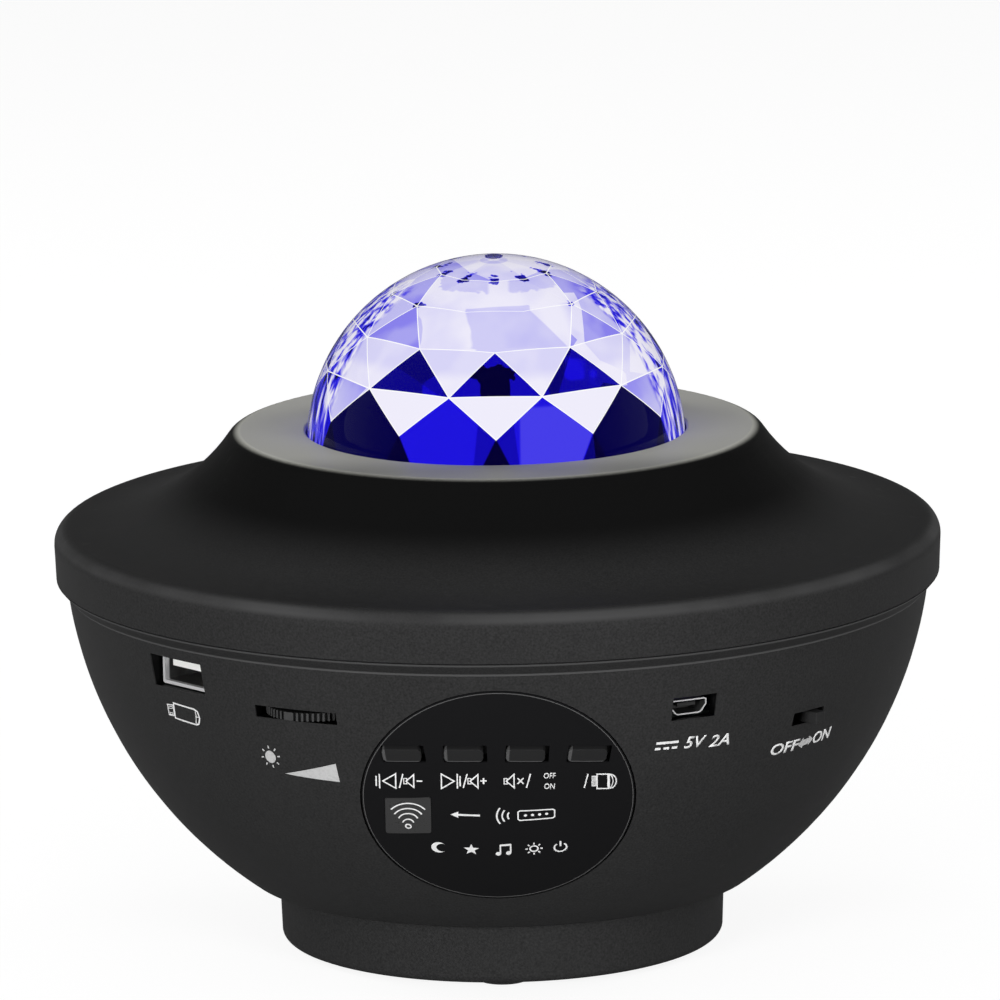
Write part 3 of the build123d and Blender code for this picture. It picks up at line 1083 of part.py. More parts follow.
with BuildPart() as speaker_magnet:
    with BuildSketch(Plane.XY.offset(PLATE_Z + PLATE_T)):
        Circle(MAGNET_R)
        Circle(GAP_OUT_R + 1.0, mode=Mode.SUBTRACT)
    extrude(amount=MAGNET_T)
speaker_magnet.part.label = "speaker_magnet"
export_step(speaker_magnet.part, "parts/speaker_magnet.step")

with BuildPart() as speaker_yoke:
    with BuildSketch(Plane.XY.offset(PLATE_Z + PLATE_T + MAGNET_T)):
        Circle(MAGNET_R)
    extrude(amount=PLATE_T)
    chamfer(speaker_yoke.edges().group_by(Axis.Z)[-1], 0.6)
    with BuildSketch(Plane.XY.offset(PLATE_Z)):
        Circle(COIL_R - 0.9)
    extrude(amount=PLATE_T + MAGNET_T + 0.5)
speaker_yoke.part.label = "speaker_yoke"
export_step(speaker_yoke.part, "parts/speaker_yoke.step")

with BuildPart() as speaker_cone:
    cone_z = SPEAKER_Z + 0.9
    neck_z = cone_z + CONE_DEPTH
    with BuildSketch(Plane.XZ):
        with BuildLine():
            Polyline((CONE_R, cone_z), (CONE_R, cone_z + 0.5), (COIL_R, neck_z + 0.5), (COIL_R, plate_top))
            Polyline((COIL_R, plate_top), (COIL_R - 0.4, plate_top), (COIL_R - 0.4, neck_z))
            cap_x, cap_z = cap_middle(COIL_R - 0.4, 2.6)
            ThreePointArc((COIL_R - 0.4, neck_z), (cap_x, neck_z - cap_z), (0, neck_z - 2.6))
            Line((0, neck_z - 2.6), (0, neck_z - 3.1))
            cap_x, cap_z = cap_middle(COIL_R + 0.4, 2.4)
            ThreePointArc((0, neck_z - 3.1), (cap_x, neck_z - 0.7 - cap_z), (COIL_R + 0.4, neck_z - 0.7))
            Line((COIL_R + 0.4, neck_z - 0.7), (CONE_R, cone_z))
        make_face()
    revolve(axis=Axis.Z)
speaker_cone.part.label = "speaker_cone"
export_step(speaker_cone.part, "parts/speaker_cone.step")

with BuildPart() as speaker_surround:
    with BuildSketch(Plane.XZ):
        with BuildLine():
            roll_in = CONE_R + 0.3
            roll_out = SPEAKER_R - 3.3
            roll_mid = (roll_in + roll_out) / 2
            ThreePointArc((roll_in, cone_z), (roll_mid, cone_z - 1.1), (roll_out, cone_z))
            Line((roll_out, cone_z), (roll_out, cone_z + 0.4))
            ThreePointArc((roll_out, cone_z + 0.4), (roll_mid, cone_z - 0.7), (roll_in, cone_z + 0.4))
            Line((roll_in, cone_z + 0.4), (roll_in, cone_z))
        make_face()
    revolve(axis=Axis.Z)
speaker_surround.part.label = "speaker_surround"
export_step(speaker_surround.part, "parts/speaker_surround.step")

# ================================================================ main board
BOARD_TOP_Z = MAIN_BOARD_Z + BOARD_T


def board_points(*shares):
    """Places on the main board, given as shares of its radius."""
    return [Vector(x, y) * MAIN_BOARD_R for x, y in shares]


CONNECTOR_POINTS = board_points((-0.49, -0.59), (-0.16, -0.76), (0.22, -0.76), (0.54, 0.65))

with BuildPart() as main_board:
    with BuildSketch(Plane.XY.offset(MAIN_BOARD_Z)):
        Circle(MAIN_BOARD_R)
        with Locations(*ring_points(MAIN_BOARD_POST_R, SIDES)):
            Circle(SMALL_SCREW[0] + SCREW_PLAY, mode=Mode.SUBTRACT)
    extrude(amount=BOARD_T)
main_board.part.label = "main_board"
export_step(main_board.part, "parts/main_board.step")

with BuildPart() as board_chips:
    # places and sizes are shares of the board's radius
    for x, y, wide, deep in ((-0.27, 0.38, 0.4, 0.32), (0.32, 0.22, 0.24, 0.24), (-0.38, -0.16, 0.16, 0.14)):
        with BuildSketch(Plane.XY.offset(BOARD_TOP_Z)):
            with Locations(*board_points((x, y))):
                Rectangle(wide * MAIN_BOARD_R, deep * MAIN_BOARD_R)
        extrude(amount=CHIP_T)
board_chips.part.label = "board_chips"
export_step(board_chips.part, "parts/board_chips.step")

with BuildPart() as board_capacitors:
    with BuildSketch(Plane.XY.offset(BOARD_TOP_Z)):
        with Locations(*board_points((0.59, -0.16), (0.59, -0.38), (-0.65, 0.16))):
            Circle(CAPACITOR_R)
    extrude(amount=CAPACITOR_H)
board_capacitors.part.label = "board_capacitors"
export_step(board_capacitors.part, "parts/board_capacitors.step")

with BuildPart() as board_connectors:
    with BuildSketch(Plane.XY.offset(BOARD_TOP_Z)):
        with Locations(*CONNECTOR_POINTS):
            Rectangle(CONNECTOR_W, CONNECTOR_D)
    extrude(amount=CONNECTOR_H)
    with BuildSketch(Plane.XY.offset(BOARD_TOP_Z + CONNECTOR_H)):
        with Locations(*CONNECTOR_POINTS):
            Rectangle(CONNECTOR_W - 2 * CONNECTOR_WALL, CONNECTOR_D - 2 * CONNECTOR_WALL)
    extrude(amount=CONNECTOR_FLOOR - CONNECTOR_H, mode=Mode.SUBTRACT)
board_connectors.part.label = "board_connectors"
export_step(board_connectors.part, "parts/board_connectors.step")

with BuildPart() as board_screws:
    with Locations(*[(x, y, BOARD_TOP_Z) for x, y in ring_points(MAIN_BOARD_POST_R, SIDES)]):
        add(screw(SMALL_SCREW))
board_screws.part.label = "board_screws"
export_step(board_screws.part, "parts/board_screws.step")

# ================================================================ front panel
with BuildPart() as control_label:
    add(bowl_layer(LABEL_SINK, LABEL_SINK - LABEL_T))
    with BuildSketch(PANEL):
        with Locations((LABEL_X, LABEL_Y)):
            Circle(LABEL_R - LABEL_GAP)
        with Locations(*BUTTON_SPOTS):
            RectangleRounded(BUTTON_HOLE_W, BUTTON_HOLE_H, BUTTON_HOLE_CORNER, mode=Mode.SUBTRACT)
        add(leaning_window(0, 0.4), mode=Mode.SUBTRACT)
    extrude(amount=30, both=True, mode=Mode.INTERSECT)
control_label.part.label = "control_label"
export_step(control_label.part, "parts/control_label.step")

with BuildPart() as ir_window:
    add(bowl_layer(WINDOW_T, LABEL_SINK - LABEL_T))
    with BuildSketch(PANEL):
        add(leaning_window(WINDOW_GAP, 0.4))
    extrude(amount=30, both=True, mode=Mode.INTERSECT)
ir_window.part.label = "ir_window"
export_step(ir_window.part, "parts/ir_window.step")

PLUNGER_DEPTH = PANEL_BOARD_DEPTH - SWITCH_BODY_T - SWITCH_PLUNGER_H
STEM_DEPTH = PLUNGER_DEPTH - BUTTON_TRAVEL - 0.05
button_body = bowl_layer(WALL + SEAM + BUTTON_FLANGE_T, -BUTTON_PROUD)
button_flange = bowl_layer(WALL + SEAM + BUTTON_FLANGE_T, WALL + SEAM)


def button(spot):
    """One push button: a cap through the wall, a flange behind it and a stem to its switch."""
    with BuildPart() as flange:
        add(button_flange)
        with BuildSketch(PANEL):
            with Locations(spot):
                Rectangle(BUTTON_HOLE_W + 2 * BUTTON_FLANGE, BUTTON_HOLE_H + 2 * BUTTON_FLANGE)
        extrude(amount=30, both=True, mode=Mode.INTERSECT)
    with BuildPart() as made:
        add(button_body)
        with BuildSketch(PANEL):
            with Locations(spot * Location((BUTTON_SHIFT, 0, 0))):
                RectangleRounded(BUTTON_W, BUTTON_H, BUTTON_CORNER)
        extrude(amount=30, both=True, mode=Mode.INTERSECT)
        outer_face = made.faces().sort_by(Axis(PANEL.origin, PANEL.z_dir))[-1]
        fillet(outer_face.edges(), BUTTON_EDGE)
        add(flange.part)
        with BuildSketch(PANEL.offset(-STEM_DEPTH)):
            with Locations(spot):
                Rectangle(STEM_W, STEM_H)
        extrude(amount=STEM_DEPTH - WALL - 0.6)
    return made


button_previous, button_play, button_mute, button_source = [button(spot) for spot in BUTTON_SPOTS]
button_previous.part.label = "button_previous"
export_step(button_previous.part, "parts/button_previous.step")
button_play.part.label = "button_play"
export_step(button_play.part, "parts/button_play.step")
button_mute.part.label = "button_mute"
export_step(button_mute.part, "parts/button_mute.step")
button_source.part.label = "button_source"
export_step(button_source.part, "parts/button_source.step")

with BuildPart() as button_board:
    with BuildSketch(PANEL.offset(-PANEL_BOARD_DEPTH)):
        with Locations((0, (PANEL_BOARD_LOW + PANEL_BOARD_HIGH) / 2)):
            Rectangle(PANEL_BOARD_W, PANEL_BOARD_HIGH - PANEL_BOARD_LOW)
        with Locations(*[(x, 0) for x in PANEL_POST_X]):
            Circle(SMALL_SCREW[0] + SCREW_PLAY, mode=Mode.SUBTRACT)
    extrude(amount=-BOARD_T)
button_board.part.label = "button_board"
export_step(button_board.part, "parts/button_board.step")

with BuildPart() as tact_switches:
    with BuildSketch(PANEL.offset(-PANEL_BOARD_DEPTH)):
        with Locations(*BUTTON_SPOTS):
            Rectangle(SWITCH_SIZE, SWITCH_SIZE)
    extrude(amount=SWITCH_BODY_T)
    with BuildSketch(PANEL.offset(-PANEL_BOARD_DEPTH + SWITCH_BODY_T)):
        with Locations(*BUTTON_SPOTS):
            Circle(SWITCH_PLUNGER_R)
    extrude(amount=SWITCH_PLUNGER_H)
tact_switches.part.label = "tact_switches"
export_step(tact_switches.part, "parts/tact_switches.step")

with BuildPart() as ir_receiver:
    with BuildSketch(PANEL.offset(-PANEL_BOARD_DEPTH)):
        with Locations((WINDOW_X, WINDOW_Y)):
            Rectangle(6.0, 7.0)
    extrude(amount=3.6)
    with BuildSketch(PANEL.offset(-PANEL_BOARD_DEPTH + 3.6)):
        with Locations((WINDOW_X, WINDOW_Y)):
            Circle(2.3)
    extrude(amount=1.8)
    fillet(ir_receiver.faces().sort_by(Axis(PANEL.origin, PANEL.z_dir))[-1].edges(), 1.2)
ir_receiver.part.label = "ir_receiver"
export_step(ir_receiver.part, "parts/ir_receiver.step")

with BuildPart() as panel_screws:
    back = PANEL.offset(-PANEL_BOARD_DEPTH - BOARD_T)
    with Locations(*[back.location * spot for spot in upside_down([(x, 0) for x in PANEL_POST_X], 0)]):
        add(screw(SMALL_SCREW))
panel_screws.part.label = "panel_screws"
export_step(panel_screws.part, "parts/panel_screws.step")

# ================================================================ brightness wheel
wheel_x, wheel_y = (outward(WHEEL_ANGLE) * WHEEL_CENTRE).X, (outward(WHEEL_ANGLE) * WHEEL_CENTRE).Y

with BuildPart() as brightness_wheel:
    with BuildSketch(Plane.XY.offset(WHEEL_Z - WHEEL_T / 2)):
        with Locations((wheel_x, wheel_y)):
            Circle(WHEEL_R)
            # the broad tooth is the mark that the finger feels
            mark_span = WHEEL_MARK_STEPS * 360 / WHEEL_TEETH
            start = WHEEL_MARK - 90 + mark_span / 2
            with PolarLocations(WHEEL_R, WHEEL_TEETH - 1, start, 360 - mark_span, endpoint=True):
                Rectangle(2 * GROOVE_DEPTH, GROOVE_W, mode=Mode.SUBTRACT)
    extrude(amount=WHEEL_T)
    with BuildSketch(Plane.XY.offset(WHEEL_Z + WHEEL_T / 2)):
        with Locations((wheel_x, wheel_y)):
            Circle(WHEEL_R * 0.72)
            Circle(WHEEL_R * 0.3, mode=Mode.SUBTRACT)
    extrude(amount=-0.5, mode=Mode.SUBTRACT)
    with BuildSketch(Plane.XY.offset(WHEEL_Z - WHEEL_T / 2)):
        with Locations((wheel_x, wheel_y)):
            Circle(WHEEL_SHAFT_R)
    extrude(amount=-2.4)
brightness_wheel.part.label = "brightness_wheel"
export_step(brightness_wheel.part, "parts/brightness_wheel.step")

with BuildPart() as wheel_potentiometer:
    with BuildSketch(level_plane(WHEEL_ANGLE, WHEEL_BOARD_Z)):
        with Locations((0, -WHEEL_CENTRE)):
            Rectangle(POT_W, POT_D)
    extrude(amount=POT_H)
    with BuildSketch(level_plane(WHEEL_ANGLE, POT_TOP_Z)):
        with Locations((0, -WHEEL_CENTRE)):
            Circle(WHEEL_SHAFT_R + RUN_GAP)
    extrude(amount=-2.3, mode=Mode.SUBTRACT)
wheel_potentiometer.part.label = "wheel_potentiometer"
export_step(wheel_potentiometer.part, "parts/wheel_potentiometer.step")

# ================================================================ sockets and small boards


def small_board(angle, board_z):
    """Small board that lies on its ledge in the bowl, with two screw holes at its inner end."""
    edge = board_edge(board_z - BOARD_T)
    with BuildPart() as made:
        with BuildSketch(level_plane(angle, board_z)):
            with Locations((0, -edge + PORT_BOARD_DEPTH / 2)):
                Rectangle(PORT_BOARD_W, PORT_BOARD_DEPTH)
            with Locations(*port_screw_points(edge)):
                Circle(SMALL_SCREW[0] + SCREW_PLAY, mode=Mode.SUBTRACT)
        extrude(amount=-BOARD_T)
    return made


usb_board = small_board(*PORT_BOARDS["usb"])
usb_board.part.label = "usb_board"
export_step(usb_board.part, "parts/usb_board.step")
wheel_board = small_board(*PORT_BOARDS["wheel"])
wheel_board.part.label = "wheel_board"
export_step(wheel_board.part, "parts/wheel_board.step")
power_board = small_board(*PORT_BOARDS["power"])
power_board.part.label = "power_board"
export_step(power_board.part, "parts/power_board.step")

with BuildPart() as port_screws:
    for board_angle, board_top in PORT_BOARDS.values():
        spot = level_plane(board_angle, board_top).location
        edge = board_edge(board_top - BOARD_T)
        with Locations(*[spot * Location((x, y, 0)) for x, y in port_screw_points(edge)]):
            add(screw(SMALL_SCREW))
port_screws.part.label = "port_screws"
export_step(port_screws.part, "parts/port_screws.step")

USB_MOUTH_PLANE = USB_FACE.offset(-PORT_RECESS)
MICRO_MOUTH_PLANE = MICRO_FACE.offset(-PORT_RECESS)

with BuildPart() as usb_a_shell:
    with BuildSketch(USB_MOUTH_PLANE):
        RectangleRounded(USB_W, USB_H, 0.5)
        RectangleRounded(USB_W - 2 * USB_SHEET, USB_H - 2 * USB_SHEET, 0.3, mode=Mode.SUBTRACT)
    extrude(amount=-USB_LENGTH)
usb_a_shell.part.label = "usb_a_shell"
export_step(usb_a_shell.part, "parts/usb_a_shell.step")

with BuildPart() as usb_a_insulator:
    inner_w = USB_W - 2 * USB_SHEET - 0.1
    inner_h = USB_H - 2 * USB_SHEET - 0.1
    with BuildSketch(USB_MOUTH_PLANE.offset(-USB_LENGTH)):
        RectangleRounded(inner_w, inner_h, 0.3)
    extrude(amount=TONGUE_ROOT)
    with BuildSketch(USB_MOUTH_PLANE.offset(-USB_LENGTH + TONGUE_ROOT)):
        with Locations((0, TONGUE_RISE)):
            Rectangle(TONGUE_W, TONGUE_T)
    extrude(amount=USB_LENGTH - TONGUE_ROOT - TONGUE_SETBACK)
usb_a_insulator.part.label = "usb_a_insulator"
export_step(usb_a_insulator.part, "parts/usb_a_insulator.step")

with BuildPart() as usb_a_contacts:
    contact_y = TONGUE_RISE - TONGUE_T / 2 - CONTACT_T / 2
    with BuildSketch(USB_MOUTH_PLANE.offset(-USB_LENGTH + TONGUE_ROOT + 0.1)):
        with Locations(*[(x, contact_y) for x in (-3.5, -1.0, 1.0, 3.5)]):
            Rectangle(CONTACT_W, CONTACT_T)
    extrude(amount=CONTACT_LENGTH)
usb_a_contacts.part.label = "usb_a_contacts"
export_step(usb_a_contacts.part, "parts/usb_a_contacts.step")


def micro_outline(gap):
    """Outline of the micro socket, narrower along its lower edge, moved inwards by a gap."""
    half_w = MICRO_W / 2
    half_h = MICRO_H / 2
    with BuildSketch() as made:
        with BuildLine() as side:
            Polyline((0, half_h), (half_w, half_h), (half_w, 0.1 * half_h))
            Polyline((half_w, 0.1 * half_h), (half_w - 0.9 * half_h, -half_h), (0, -half_h))
            mirror(side.line, about=Plane.YZ)
        make_face()
        fillet(made.vertices().group_by(Axis.Y)[-1], MICRO_TOP_CORNER)
        fillet(made.vertices().group_by(Axis.Y)[0], MICRO_LOW_CORNER)
        if gap:
            offset(amount=-gap, kind=Kind.INTERSECTION, mode=Mode.REPLACE)
    return made.sketch


with BuildPart() as micro_usb_shell:
    with BuildSketch(MICRO_MOUTH_PLANE):
        add(micro_outline(0))
    extrude(amount=-MICRO_LENGTH)
    with BuildSketch(MICRO_MOUTH_PLANE):
        add(micro_outline(MICRO_SHEET))
    extrude(amount=-MICRO_LENGTH, mode=Mode.SUBTRACT)
micro_usb_shell.part.label = "micro_usb_shell"
export_step(micro_usb_shell.part, "parts/micro_usb_shell.step")

with BuildPart() as micro_usb_tongue:
    with BuildSketch(MICRO_MOUTH_PLANE.offset(-MICRO_LENGTH)):
        add(micro_outline(MICRO_SHEET + 0.03))
    extrude(amount=1.2)
    with BuildSketch(MICRO_MOUTH_PLANE.offset(-MICRO_LENGTH + 1.2)):
        with Locations((0, 0.35)):
            Rectangle(3.7, 0.6)
    extrude(amount=MICRO_LENGTH - 1.2 - 0.8)
micro_usb_tongue.part.label = "micro_usb_tongue"
export_step(micro_usb_tongue.part, "parts/micro_usb_tongue.step")

# ================================================================ slide switch
SLIDE_PLATE = SLIDE_FACE.offset(-SLIDE_PLATE_DEPTH)
KNOB_X = SLIDE_TRAVEL / 2

with BuildPart() as switch_case:
    with BuildSketch(SLIDE_PLATE):
        Rectangle(SLIDE_PLATE_W, SLIDE_PLATE_H)
        with Locations((-SLIDE_SCREW_X, 0), (SLIDE_SCREW_X, 0)):
            Circle(SMALL_SCREW[0] + SCREW_PLAY, mode=Mode.SUBTRACT)
    extrude(amount=-SLIDE_PLATE_T)
    with BuildSketch(SLIDE_PLATE.offset(-SLIDE_PLATE_T)):
        Rectangle(SLIDE_CASE_W, SLIDE_PLATE_H)
    extrude(amount=-SLIDE_CASE_D)
    # window and track for the knob's slider
    with BuildSketch(SLIDE_PLATE):
        Rectangle(SLIDE_TRAVEL + SLIDE_KNOB_W + 0.5, SLIDE_KNOB_H + 0.5)
    extrude(amount=-SLIDE_PLATE_T - 2.0, mode=Mode.SUBTRACT)
switch_case.part.label = "switch_case"
export_step(switch_case.part, "parts/switch_case.step")

with BuildPart() as switch_knob:
    with BuildSketch(SLIDE_PLATE.offset(-SLIDE_PLATE_T - 1.75)):
        with Locations((KNOB_X, 0)):
            Rectangle(SLIDE_KNOB_W, SLIDE_KNOB_H)
    extrude(amount=SLIDE_PLATE_DEPTH + SLIDE_PLATE_T + 1.75 + SLIDE_KNOB_PROUD)
    fillet(switch_knob.faces().sort_by(Axis(SLIDE_FACE.origin, SLIDE_FACE.z_dir))[-1].edges(), 0.25)
switch_knob.part.label = "switch_knob"
export_step(switch_knob.part, "parts/switch_knob.step")

with BuildPart() as short_screws:
    switch_back = SLIDE_PLATE.offset(-SLIDE_PLATE_T)
    with Locations(*[(x, y, FLANGE_BACK_Z) for x, y in ring_points(SPEAKER_SCREW_R, SIDES)]):
        add(screw(SHORT_SCREW))
    slide_spots = upside_down([(-SLIDE_SCREW_X, 0), (SLIDE_SCREW_X, 0)], 0)
    with Locations(*[switch_back.location * spot for spot in slide_spots]):
        add(screw(SHORT_SCREW))
short_screws.part.label = "short_screws"
export_step(short_screws.part, "parts/short_screws.step")
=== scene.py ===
"""Star night light projector: finishes, dome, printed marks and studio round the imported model."""
import json
from math import asin, atan2, cos, pi, radians, sin, sqrt

import bpy
from mathutils import Matrix, Vector


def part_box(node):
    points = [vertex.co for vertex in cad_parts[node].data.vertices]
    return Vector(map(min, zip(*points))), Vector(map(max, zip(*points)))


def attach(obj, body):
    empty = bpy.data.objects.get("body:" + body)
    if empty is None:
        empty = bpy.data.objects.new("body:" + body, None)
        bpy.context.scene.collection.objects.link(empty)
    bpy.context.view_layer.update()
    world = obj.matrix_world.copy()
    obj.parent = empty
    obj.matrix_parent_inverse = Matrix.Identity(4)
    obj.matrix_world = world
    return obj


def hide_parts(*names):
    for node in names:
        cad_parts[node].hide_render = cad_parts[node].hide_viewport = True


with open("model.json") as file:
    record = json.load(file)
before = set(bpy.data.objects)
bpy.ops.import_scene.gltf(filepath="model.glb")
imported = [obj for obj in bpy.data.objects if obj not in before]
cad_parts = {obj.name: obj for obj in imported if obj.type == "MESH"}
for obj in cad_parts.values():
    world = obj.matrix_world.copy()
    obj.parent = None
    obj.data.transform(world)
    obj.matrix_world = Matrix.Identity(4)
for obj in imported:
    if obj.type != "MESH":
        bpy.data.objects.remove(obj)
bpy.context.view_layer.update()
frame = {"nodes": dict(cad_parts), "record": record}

bl_info = {
    "name": "Star night light",
    "version": (1, 0, 0),
    "blender": (4, 5, 0),
    "location": "View3D > Sidebar > Night light",
    "description": "Finishes, faceted dome, printed marks and studio for the packed night light",
    "category": "Object",
}

MM = 0.001
BODY = "projector"

# ---- The bowl's side is one arc turned about the main axis; its centre and radius ----
ARC_X = 1.0 * MM
ARC_Z = 79.886 * MM
ARC_R = 81.484 * MM

# ---- Heights on the housing ----
JOIN_Z = 13.5 * MM          # lower end of the bowl's round side
LIP_Z = 69.35 * MM
PART_Z = 71.85 * MM
RIM_TOP_Z = 81.6 * MM
LEDGE_Z = 99.4 * MM

# ---- Panel's slope, the sockets' directions and mouths, and the row of buttons ----
PANEL_DROP = radians(27.9)
USB_ANGLE = -47.8
USB_MOUTH = 78.46 * MM
MICRO_ANGLE = 26.6
MICRO_MOUTH = 77.60 * MM
BUTTON_ROW_TOP_X = -1.6 * MM
BUTTON_ROW_Y = 12.95 * MM
BUTTON_ROW_R = 108.0 * MM
BUTTON_W = 7.2 * MM
BUTTON_H = 2.7 * MM

# ---- Dome: centre, flange, gate, and the rings of the facets' corners ----
DOME_Z = 96.2 * MM
FLANGE_Z = 94.8 * MM
FLANGE_TOP_Z = 97.0 * MM
FLANGE_R = 39.6 * MM
GATE_R = 1.7 * MM
SHELL_REACH = 0.04 * MM     # how far the lit shell goes into the clear wall
CORNER_LATITUDES = (12.4, 25.5, 41.0, 56.5, 72.0)
LOW_CORNERS = (7.17, 14.38, 21.91)      # heights of the lowest three rings above the centre, in mm
BROAD_TONE = 0.94           # marks the two broad facets at the front
BROAD_EDGE = 28.1           # height of the edge between them above the centre, in mm
STAR_CORNERS = ((72.0, 0.0, -2.0), (56.5, 0.5, 9.0))    # latitude, turn in steps, least distance to the side

# ---- Camera ----
CAMERA_PLACE = (0.58, -2004.2, 505.8)
CAMERA_LENS = 387.8
CAMERA_PITCH = 0.2069
CAMERA_ROLL = -0.0135


# ================================================================ settings
def colour_setting(name, description, default):
    return bpy.props.FloatVectorProperty(
        name=name, description=description, subtype="COLOR", size=3, default=default)


def length_setting(name, description, size):
    """A length whose default is in millimetres."""
    return bpy.props.FloatProperty(
        name=name, description=description, default=size * MM, unit="LENGTH", precision=5)


def level_setting(name, description, default, unit="NONE"):
    return bpy.props.FloatProperty(name=name, description=description, default=default, unit=unit)


class StageSettings(bpy.types.PropertyGroup):
    floor_colour: colour_setting("Floor", "Colour of the floor and the backdrop", (0.9, 0.9, 0.9))
    bounce: level_setting("Bounce", "Grey of the floor for the light that it throws back", 0.3)
    key_power: level_setting("Key", "Power of the large lamp at the front left", 20.0, "POWER")
    fill_power: level_setting("Fill", "Power of the lamp at the front right", 18.0, "POWER")
    rim_power: level_setting("Rim", "Power of the two lamps behind the object", 3.0, "POWER")
    sky: level_setting("Sky", "Strength of the even light from all round", 0.3)


class HousingSettings(bpy.types.PropertyGroup):
    colour: colour_setting("Housing", "Colour of the black mouldings", (0.022, 0.022, 0.0222))
    ledge_colour: colour_setting("Ledge", "Colour of the flat ledge round the dome", (0.63, 0.63, 0.565))
    label_colour: colour_setting("Label", "Colour of the round panel", (0.007, 0.007, 0.0075))
    grain: length_setting("Grain", "Size of the moulded grain", 0.4)


class DomeSettings(bpy.types.PropertyGroup):
    radius: length_setting("Radius", "Outer radius of the clear dome", 36)
    facet_radius: length_setting("Facet radius", "Sphere that the inner facets' corners lie on", 33.4)
    facets: bpy.props.IntProperty(name="Facets", description="Facets in each row", default=11, min=5)
    edge: length_setting("Edge", "Width of the bright line along a facet's edge", 0.2)
    light: colour_setting("Bright facets", "Colour of the brightest facets", (0.87, 0.85, 0.97))
    middle: colour_setting("Lilac", "Colour of the patches on the bright facets", (0.5, 0.48, 0.9))
    deep: colour_setting("Blue", "Colour of the blue facets", (0.008, 0.003, 0.7))
    dark: colour_setting("Navy", "Colour of the darkest facets", (0.0006, 0.0, 0.03))


class MarkSettings(bpy.types.PropertyGroup):
    ink: colour_setting("Ink", "Colour of the printed marks", (0.78, 0.78, 0.78))
    thickness: length_setting("Thickness", "Height of the print above the surface", 0.04)


# ================================================================ shader maths
class Num:
    """A number socket; arithmetic on it adds Math nodes."""

    def __init__(self, finish, socket):
        self.finish = finish
        self.socket = socket

    def math(self, operation, *values):
        made = self.finish.node("Math", dict(enumerate(values)), operation=operation)
        return Num(self.finish, made.outputs[0])

    def of(self, operation):
        """A function of this number alone."""
        return self.math(operation, self)

    def __abs__(self):
        return self.of("ABSOLUTE")

    def __add__(self, other):
        return self.math("ADD", self, other)

    def __sub__(self, other):
        return self.math("SUBTRACT", self, other)

    def __rsub__(self, other):
        return self.math("SUBTRACT", other, self)

    def __mul__(self, other):
        return self.math("MULTIPLY", self, other)

    def __truediv__(self, other):
        return self.math("DIVIDE", self, other)

    def __pow__(self, other):
        return self.math("POWER", self, other)

    __radd__ = __add__
    __rmul__ = __mul__

    def larger(self, other):
        return self.math("MAXIMUM", self, other)

    def rise(self, low, high):
        """0 below low, 1 above high, smooth between; the other way round where high is the lower."""
        inputs = {"Value": self, "From Min": low, "From Max": high}
        made = self.finish.node("MapRange", inputs, interpolation_type="SMOOTHSTEP")
        return Num(self.finish, made.outputs[0])

    def band(self, low, first, last, high):
        """1 from first to last, smooth down to 0 at low and high."""
        return self.rise(low, first) * self.rise(high, last)


def rgba(colour):
    """A colour with full alpha, from three numbers or one grey."""
    if isinstance(colour, (int, float)):
        colour = (colour, colour, colour)
    return (*tuple(colour)[:3], 1.0)


def scaled(colour, share, plus=0.0):
    """A colour with its three numbers times a share, and a little more."""
    return [c * share + plus for c in rgba(colour)[:3]]


